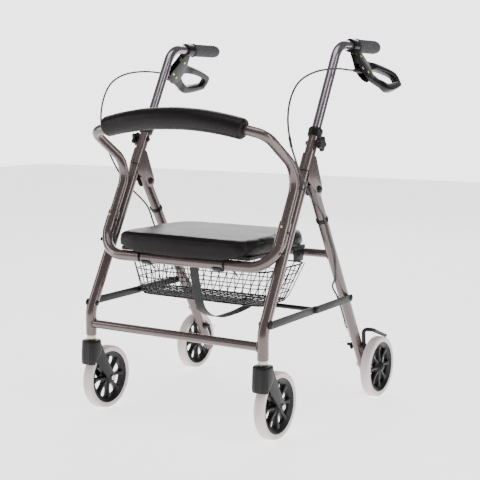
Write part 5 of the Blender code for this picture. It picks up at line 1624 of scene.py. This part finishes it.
# ---- handles and brakes ----------------------------------------------------------------------
@dataclass
class Handle:
    """One handle: its bent tube, ribbed grip, brake housing and looped lever."""

    side: Side
    layout: Layout = LAYOUT
    bend: float = 0.055
    foot_z: float = 0.520
    grip_r: float = 0.0165
    pivot_drop: float = 0.078
    clamp_gap: float = 0.018
    ribs: int = 9

    def build(self) -> None:
        """Builds the handle's pieces, which all slide together."""
        label = self.side.label
        self.body = f"handle_{label}"
        low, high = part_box(f"grip_{label}")
        self.grip_z = (low[2] + high[2]) / 2
        self.grip_y = (low[1], high[1])
        self.clamp_y = low[1] - self.clamp_gap
        self.pivot_y = low[1] - self.layout.brake_gap
        self.tube()
        self.grip()
        self.housing()
        self.lever()

    def tube(self) -> None:
        """The handle's tube: straight in the leg, then one bend to the level grip."""
        lay = self.layout
        corners = [lay.leg(self.side, self.foot_z), lay.leg(self.side, self.grip_z),
                   np.array([self.side.value * lay.track, self.grip_y[1] - 0.004, self.grip_z])]
        Shape().pipe(rounded(corners, [self.bend], 0.004), lay.inner_r, lay.wall, 28).build(
            f"upper_tube_{self.side.label}", SILVER_LILAC, self.body, Slot.HANDLE,
            [f"handle_tube_{self.side.label}"])

    def grip(self) -> None:
        """A turned sleeve: a flange, rounded rings along the hand's place, and a domed end with a vent."""
        length = self.grip_y[1] - self.grip_y[0]
        along = np.linspace(0.010, length - 0.014, 90)
        wave = np.abs(np.sin((along - 0.010) / (length - 0.024) * math.pi * self.ribs)) ** 0.7
        radius = self.grip_r - 0.0014 + 0.0013 * wave
        front = [(0.0115, 0.0), (0.0160, 0.0), (0.0176, 0.0010), (0.0180, 0.0030), (0.0176, 0.0052),
                 (0.0162, 0.0075)]
        turn = np.linspace(0.1, math.pi / 2, 8)
        dome = np.stack([0.0045 + (self.grip_r - 0.0060) * np.cos(turn),
                         length - 0.0095 + 0.0093 * np.sin(turn)], axis=1)
        back = [(0.0040, length - 0.0004), (0.0040, length - 0.0034), (0.0115, length - 0.0036)]
        profile = np.vstack([front, np.stack([radius, along], axis=1), dome, back])
        centre = (self.side.value * self.layout.track, self.grip_y[0], self.grip_z)
        Shape().turned(profile, centre, Y_AXIS, 56, loop=True).build(
            f"ribbed_grip_{self.side.label}", GRIP_RUBBER, self.body, Slot.GRIP,
            [f"grip_{self.side.label}"], 60.0)

    def place(self, y: float, drop: float, out: float = 0.0) -> Array:
        """A point in the leaning plane of this brake."""
        return self.layout.brake(self.side, y, drop, out)

    def housing(self) -> None:
        """The clamp round the tube, two fan-shaped cheeks, the web between them, and the cable's nose."""
        lay = self.layout
        shape = Shape()
        ring_of = [(0.0115, -0.013), (0.0152, -0.013), (0.0163, -0.0118), (0.0165, -0.004), (0.0165, 0.004),
                   (0.0163, 0.0118), (0.0152, 0.013), (0.0115, 0.013)]
        shape.turned(ring_of, (self.side.value * lay.track, self.clamp_y, self.grip_z), Y_AXIS, 48, loop=True)
        y, drop = self.pivot_y, self.pivot_drop
        fan = catmull([(y - 0.006, 0.0150), (y + 0.006, 0.0145), (y + 0.017, 0.0150), (y + 0.021, 0.030),
                       (y + 0.026, 0.048), (y + 0.0245, drop - 0.006), (y + 0.016, drop + 0.013),
                       (y, drop + 0.0195), (y - 0.018, drop + 0.015), (y - 0.029, drop + 0.002),
                       (y - 0.031, drop - 0.012), (y - 0.024, drop - 0.026), (y - 0.016, 0.036)], 5, closed=True)
        across, down = Y_AXIS, self.place(y, 1.0) - self.place(y, 0.0)
        for out in (-0.0074, 0.0074):
            shape.plate(fan, self.place(0, 0, out), across, down, 0.0013, 0.0005)
        web = rounded_outline([(y - 0.005, 0.0140), (y + 0.016, 0.0140), (y + 0.019, 0.0245), (y - 0.009, 0.0245)],
                              0.002)
        shape.plate(web, self.place(0, 0), across, down, 0.0150, 0.0010)
        start, end = self.place(y - 0.022, drop - 0.006), self.place(y - 0.056, drop - 0.008)
        nose = unit(end - start)
        length = float(np.linalg.norm(end - start))
        profile = [(0.0060, 0.0), (0.0062, 0.004), (0.0056, 0.008), (0.0058, 0.010), (0.0058, 0.013),
                   (0.0048, 0.015), (0.0046, length - 0.010), (0.0040, length - 0.009), (0.0038, length - 0.001),
                   (0.0030, length)]
        shape.turned(profile, start, nose, 28)
        shape.build(f"brake_clamp_{self.side.label}", GLOSS_BLACK, self.body, Slot.PLASTIC,
                    [f"brake_housing_{self.side.label}"])
        rivets = Shape()
        for y_off, drop_off in ((0.0, drop), (-0.019, drop - 0.010), (0.006, 0.034)):
            for out in (-1, 1):
                base = self.place(y + y_off, drop_off, out * 0.0080)
                rivets.dome(base, unit(self.place(0, 0, out) - self.place(0, 0)), 0.0034, 0.0014)
        rivets.build(f"brake_rivets_{self.side.label}", YELLOW_ZINC, self.body, Slot.ZINC)

    def lever(self) -> None:
        """The looped lever: a band between an outer and an inner closed curve, rounded all along."""
        y = self.pivot_y
        outer = catmull([(y + 0.0085, 0.0400), (y + 0.050, 0.0475), (y + 0.096, 0.0565), (y + 0.148, 0.0715),
                         (y + 0.1605, 0.0830), (y + 0.1585, 0.1050), (y + 0.148, 0.1155), (y + 0.076, 0.1275),
                         (y + 0.035, 0.1120), (y + 0.002, 0.0945), (y - 0.0080, 0.0800), (y - 0.0060, 0.0620)],
                        12, closed=True)
        inner = catmull([(y + 0.036, 0.0690), (y + 0.062, 0.0680), (y + 0.096, 0.0730), (y + 0.130, 0.0815),
                         (y + 0.1420, 0.0885), (y + 0.1410, 0.0975), (y + 0.134, 0.1015), (y + 0.080, 0.1070),
                         (y + 0.052, 0.0965), (y + 0.038, 0.0870), (y + 0.030, 0.0800), (y + 0.030, 0.0735)],
                        12, closed=True)
        middle, reach = (outer + inner) / 2, (outer - inner) / 2
        cosine, sine = oval(16, 4.5)
        flat = middle[:, None] + reach[:, None] * cosine[None, :, None]
        depth = 0.0060 + 0.0032 * np.clip((flat[:, :, 0] - y - 0.044) / 0.016, 0, 1)
        lift = sine[None, :] * depth
        down = self.place(0, 1.0) - self.place(0, 0.0)
        off = self.place(0, 0, 1.0) - self.place(0, 0)
        points = self.place(0, 0) + flat[:, :, :1] * Y_AXIS + flat[:, :, 1:] * down + lift[:, :, None] * off
        Shape().grid(points, loop=True).build(f"loop_lever_{self.side.label}", GLOSS_BLACK,
                                              f"brake_lever_{self.side.label}", Slot.PLASTIC,
                                              [f"brake_lever_{self.side.label}"], 50.0)


@dataclass
class StarKnob:
    """The five-lobed knob that clamps the handle's height."""

    side: Side
    layout: Layout = LAYOUT
    radius: float = 0.0180
    lobes: int = 5

    def build(self) -> None:
        """A turned profile whose radius swells at each lobe, on a round neck."""
        body = f"height_knob_{self.side.label}"
        lay = self.layout
        out = X_AXIS * self.side.value
        base = lay.leg(self.side, lay.knob_z) + out * (lay.tube_r + 0.0003)
        angle = turns(120)
        lobe = 0.86 + 0.14 * np.cos(self.lobes * angle)
        level = np.array([0.0060, 0.0062, 0.0070, 0.0085, 0.0130, 0.0143, 0.0149, 0.0144, 0.0146])
        scale = np.array([0.55, 0.92, 0.98, 1.0, 1.0, 0.96, 0.86, 0.50, 0.22])
        even_out = np.array([0.6, 0.2, 0, 0, 0, 0, 0.2, 0.8, 1.0])[:, None]
        radius = self.radius * scale[:, None] * (lobe * (1 - even_out) + 0.86 * even_out)
        cosine, sine = np.cos(angle), np.sin(angle)
        star = base + level[:, None, None] * out + radius[:, :, None] * (
            cosine[:, None] * lay.leg_line + sine[:, None] * lay.leg_back)
        shape = Shape().grid(star)
        shape.turned([(0.0070, 0), (0.0072, 0.001), (0.0066, 0.0065)], base, out, 28)
        shape.build(f"star_knob_{self.side.label}", BLACK_PLASTIC, body, Slot.PLASTIC, [body], 45.0)


# ---- braces, strap and cables ----------------------------------------------------------------
@dataclass
class Braces:
    """The jointed side braces and the bar under the basket that joins them."""

    layout: Layout = LAYOUT
    width: float = 0.018
    thick: float = 0.0028

    def build(self) -> None:
        """Builds the four bars with their rivets, and the fold bar."""
        lay = self.layout
        front, rear, middle = lay.brace_pins
        inner = lay.track + lay.tube_r + 0.0010
        outer = inner + self.thick + 0.0006
        for side in Side:
            self.bar(f"front_brace_{side.label}", "front_braces", side, front, middle, inner, True)
            self.bar(f"rear_brace_{side.label}", "rear_braces", side, rear, middle, outer, False)
        reach = inner - 0.0003
        Shape().rod([(-reach, *middle), (0, *middle), (reach, *middle)], lay.fold_bar_r, 24, 0.0006).build(
            "joining_bar", BLACK_POWDER, "front_braces", Slot.BLACK_STEEL, ["fold_bar"])

    def bar(self, node: str, body: str, side: Side, pin: Array, middle: Array, face: float, front: bool) -> None:
        """One flat bar with round ends, and the stud that carries it on its leg."""
        out = X_AXIS * side.value
        plane = out * (face + self.thick / 2)
        shape = Shape().plate(stadium(pin, middle, self.width / 2, 20), plane, Y_AXIS, Z_AXIS, self.thick, 0.0008)
        across = np.array([0.0, *pin])
        stud = across + out * (self.layout.track - self.layout.tube_r - 0.0018)
        shape.rod([stud, across + out * (face + self.thick + 0.001)], 0.0034, 16)
        shape.dome(across + out * (face + self.thick), out, 0.0068, 0.0030)
        shape.dome(stud + out * 0.0015, -out, 0.0062, 0.0024)
        if not front:
            hub = np.array([0.0, *middle])
            shape.dome(hub + out * (face + self.thick), out, 0.0072, 0.0034)
        shape.build(f"{node}_bar", BLACK_POWDER, body, Slot.BLACK_STEEL, [node])


@dataclass
class Strap:
    """The woven pull strap from the seat's front tube, down under the basket and round the fold bar."""

    layout: Layout = LAYOUT
    width: float = 0.024
    thick: float = 0.0022
    x: float = 0.045

    def section(self, line: Array, across: Array, out: Array) -> Array:
        """The webbing's flat rounded section at every station, with its two cross directions."""
        cosine, sine = oval(24, 6.0)
        wide, deep = (self.width / 2 * cosine)[None, :, None], (self.thick / 2 * sine)[None, :, None]
        return line[:, None] + wide * across[:, None] + deep * out[:, None]

    def build(self) -> None:
        """Carries the section along the strap's line, and turns it once round the fold bar."""
        lay, x = self.layout, self.x
        middle_y, middle_z = lay.brace_pins[2]
        tube = lay.beside(Side.RIGHT, lay.seat_tube_z)
        corners = np.array([(x - 0.030, tube[1] + 0.0207, 0.372), lay.at(x - 0.026, 0.066, 0.330),
                            lay.at(x - 0.014, 0.072, 0.270), lay.at(x + 0.004, 0.105, 0.247),
                            lay.at(x + 0.018, 0.160, 0.249), (x + 0.026, middle_y - 0.002, middle_z - 0.0100)])
        path = catmull(corners, 12)
        tangent = unit_rows(np.gradient(path, axis=0))
        across = unit_rows(X_AXIS - tangent * tangent[:, :1])
        points = self.section(path, across, np.cross(tangent, across))
        strap = Shape().grid(points).build("pull_strap", BLACK_WEBBING, None, Slot.WEBBING, ["fold_strap"])
        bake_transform(strap)
        cosine, sine = ring(40)
        out = cosine[:, None] * Y_AXIS + sine[:, None] * Z_AXIS
        line = np.array([x + 0.026, middle_y, middle_z]) + (lay.fold_bar_r + 0.0014) * out
        loop = Shape().grid(self.section(line, np.broadcast_to(X_AXIS, line.shape), out), loop=True)
        loop.build("strap_loop", BLACK_WEBBING, "front_braces", Slot.WEBBING)


@dataclass
class BrakeCable:
    """One brake cable: a free bow from the brake's nose to the leg, then down the rear leg."""

    side: Side
    layout: Layout = LAYOUT
    radius: float = 0.0022

    def build(self) -> None:
        """Splits the route beside the leg's top: one part follows the handle and one the rear leg."""
        lay, label, sign = self.layout, self.side.label, self.side.value
        pivot_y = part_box(f"grip_{label}")[0][1] - lay.brake_gap
        nose = lay.brake(self.side, pivot_y - 0.0565, 0.070)
        beside = lay.track + lay.tube_r + 0.0030
        free = [(0.272, 0.262, 0.8160), (0.266, 0.180, 0.8080), (0.260, 0.118, 0.7870), (0.257, 0.084, 0.7520),
                (0.257, 0.071, 0.7060), (0.258, 0.081, 0.6560), (0.2585, 0.106, 0.6120), (0.2585, 0.138, 0.5700),
                (beside + 0.0022, 0.172, 0.5340)]
        upper = [nose, nose + np.array([-sign * 0.001, -0.022, 0.0005])]
        upper += [lay.at(sign * x, y, z) for x, y, z in free]
        lower = []
        for x, off, z in ((beside, -0.016, 0.480), (beside, -0.016, 0.430), (beside, -0.016, 0.380),
                          (lay.track + 0.003, -0.0215, 0.325), (lay.track - 0.0140, -0.0170, 0.298),
                          (lay.track - 0.0172, -0.003, 0.270), (lay.track - 0.0172, 0.0, 0.240),
                          (lay.track - 0.0172, 0.0, 0.198)):
            lower.append(lay.rear(self.side, z) * (0, 1, 1) + np.array([sign * x, off, 0]))
        steps = 8
        path = catmull(upper + lower, steps)
        cut = 7 * steps
        first = Shape().rod(path[:cut + 1], self.radius, 14).build(f"bow_cable_{label}", SLEEVE, None, Slot.SLEEVE,
                                                                 [f"brake_cable_{label}"])
        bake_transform(first)
        second = Shape().rod(path[cut:], self.radius, 14).build(f"leg_cable_{label}", SLEEVE, None, Slot.SLEEVE)
        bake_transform(second)
        joint = Shape().rod(path[cut - 2:cut + 3], self.radius + 0.0008, 16)
        joint.build(f"cable_ferrule_{label}", BLACK_PLASTIC, "front_frame", Slot.PLASTIC)


# ---- studio ----------------------------------------------------------------------------------
@dataclass
class Studio:
    """The floor, the soft lights and the camera."""

    eye: tuple[float, float, float] = (1.4166, -2.2354, 0.7541)
    pitch: float = math.radians(90 - 7.54)
    heading: float = math.radians(32.2157)
    lens: float = 81.45
    floor_size: float = 14.0
    room: float = 0.20
    backdrop: float = 3.4

    def build(self) -> None:
        """Sets the floor, the lights, the sky and the camera."""
        self.floor()
        self.light("top", (0.4, -0.6, 2.9), (2.2, 1.6), 42.0)
        self.light("left_strip", (-2.4, -1.9, 1.3), (0.5, 2.2), 30.0)
        self.light("right_strip", (2.9, -0.1, 1.3), (0.6, 2.2), 34.0)
        self.light("back", (-1.2, 3.0, 2.4), (2.6, 2.0), 45.0)
        self.sky()
        data = bpy.data.cameras.new("camera")
        data.lens = self.lens
        data.sensor_width = 36.0
        camera = bpy.data.objects.new("camera", data)
        camera.location = self.eye
        camera.rotation_euler = (self.pitch, 0.0, self.heading)
        bpy.context.scene.collection.objects.link(camera)
        bpy.context.scene.camera = camera

    def floor(self) -> None:
        """A flat square just under the wheels, as a grid of points."""
        across = 5
        line = np.linspace(-self.floor_size / 2, self.floor_size / 2, across)
        x, y = np.meshgrid(line, line)
        points = np.stack([x, y, np.full_like(x, -0.0002)], axis=2).reshape(-1, 3)
        quads = quads_of(np.arange(across * across).reshape(across, across))
        mesh = mesh_of("floor", points, quads.ravel(), np.full(len(quads), 4))
        mesh.materials.append(PaleFloor("studio_floor").material())
        item = bpy.data.objects.new("floor", mesh)
        bpy.context.scene.collection.objects.link(item)

    def sky(self) -> None:
        """A white backdrop behind the walker, a dim room in front of it, and a smooth grade between."""
        world = bpy.context.scene.world or bpy.data.worlds.new("studio")
        bpy.context.scene.world = world
        world.use_nodes = True
        tree = world.node_tree
        place = tree.nodes.new("ShaderNodeTexCoord")
        facing = tree.nodes.new("ShaderNodeVectorMath")
        facing.operation = "DOT_PRODUCT"
        facing.inputs[1].default_value = (-math.sin(self.heading), math.cos(self.heading), 0.0)
        grade = tree.nodes.new("ShaderNodeMapRange")
        grade.interpolation_type = "SMOOTHSTEP"
        levels = {"From Min": 0.72, "From Max": 0.93, "To Min": self.room, "To Max": self.backdrop}
        for name, number in levels.items():
            grade.inputs[name].default_value = number
        tree.links.new(place.outputs["Generated"], facing.inputs[0])
        tree.links.new(facing.outputs["Value"], grade.inputs["Value"])
        shine = tree.nodes["Background"]
        shine.inputs["Color"].default_value = (1.0, 0.99, 1.0, 1.0)
        tree.links.new(grade.outputs["Result"], shine.inputs["Strength"])

    def light(self, name: str, place: Sequence[float], size: tuple[float, float], power: float) -> None:
        """One area light, wide by tall, that faces the middle of the walker."""
        data = bpy.data.lights.new(name, "AREA")
        data.shape = "RECTANGLE"
        data.energy = power
        data.size, data.size_y = size
        lamp = bpy.data.objects.new(name, data)
        lamp.location = place
        lamp.rotation_euler = (Vector((0.0, 0.0, 0.45)) - Vector(place)).to_track_quat("-Z", "Y").to_euler()
        bpy.context.scene.collection.objects.link(lamp)


def main() -> None:
    """Builds the studio, then the walker's visible pieces in order."""
    logging.basicConfig(level=logging.INFO, format="%(name)s %(message)s")
    Studio().build()
    FrontFrame().build()
    Backrest().build()
    for side in Side:
        Caster(side).build()
        Handle(side).build()
        StarKnob(side).build()
        BrakeCable(side).build()
    RearFrame().build()
    Seat().build()
    Basket().build()
    Braces().build()
    Strap().build()


if __name__ == "__main__":
    main()
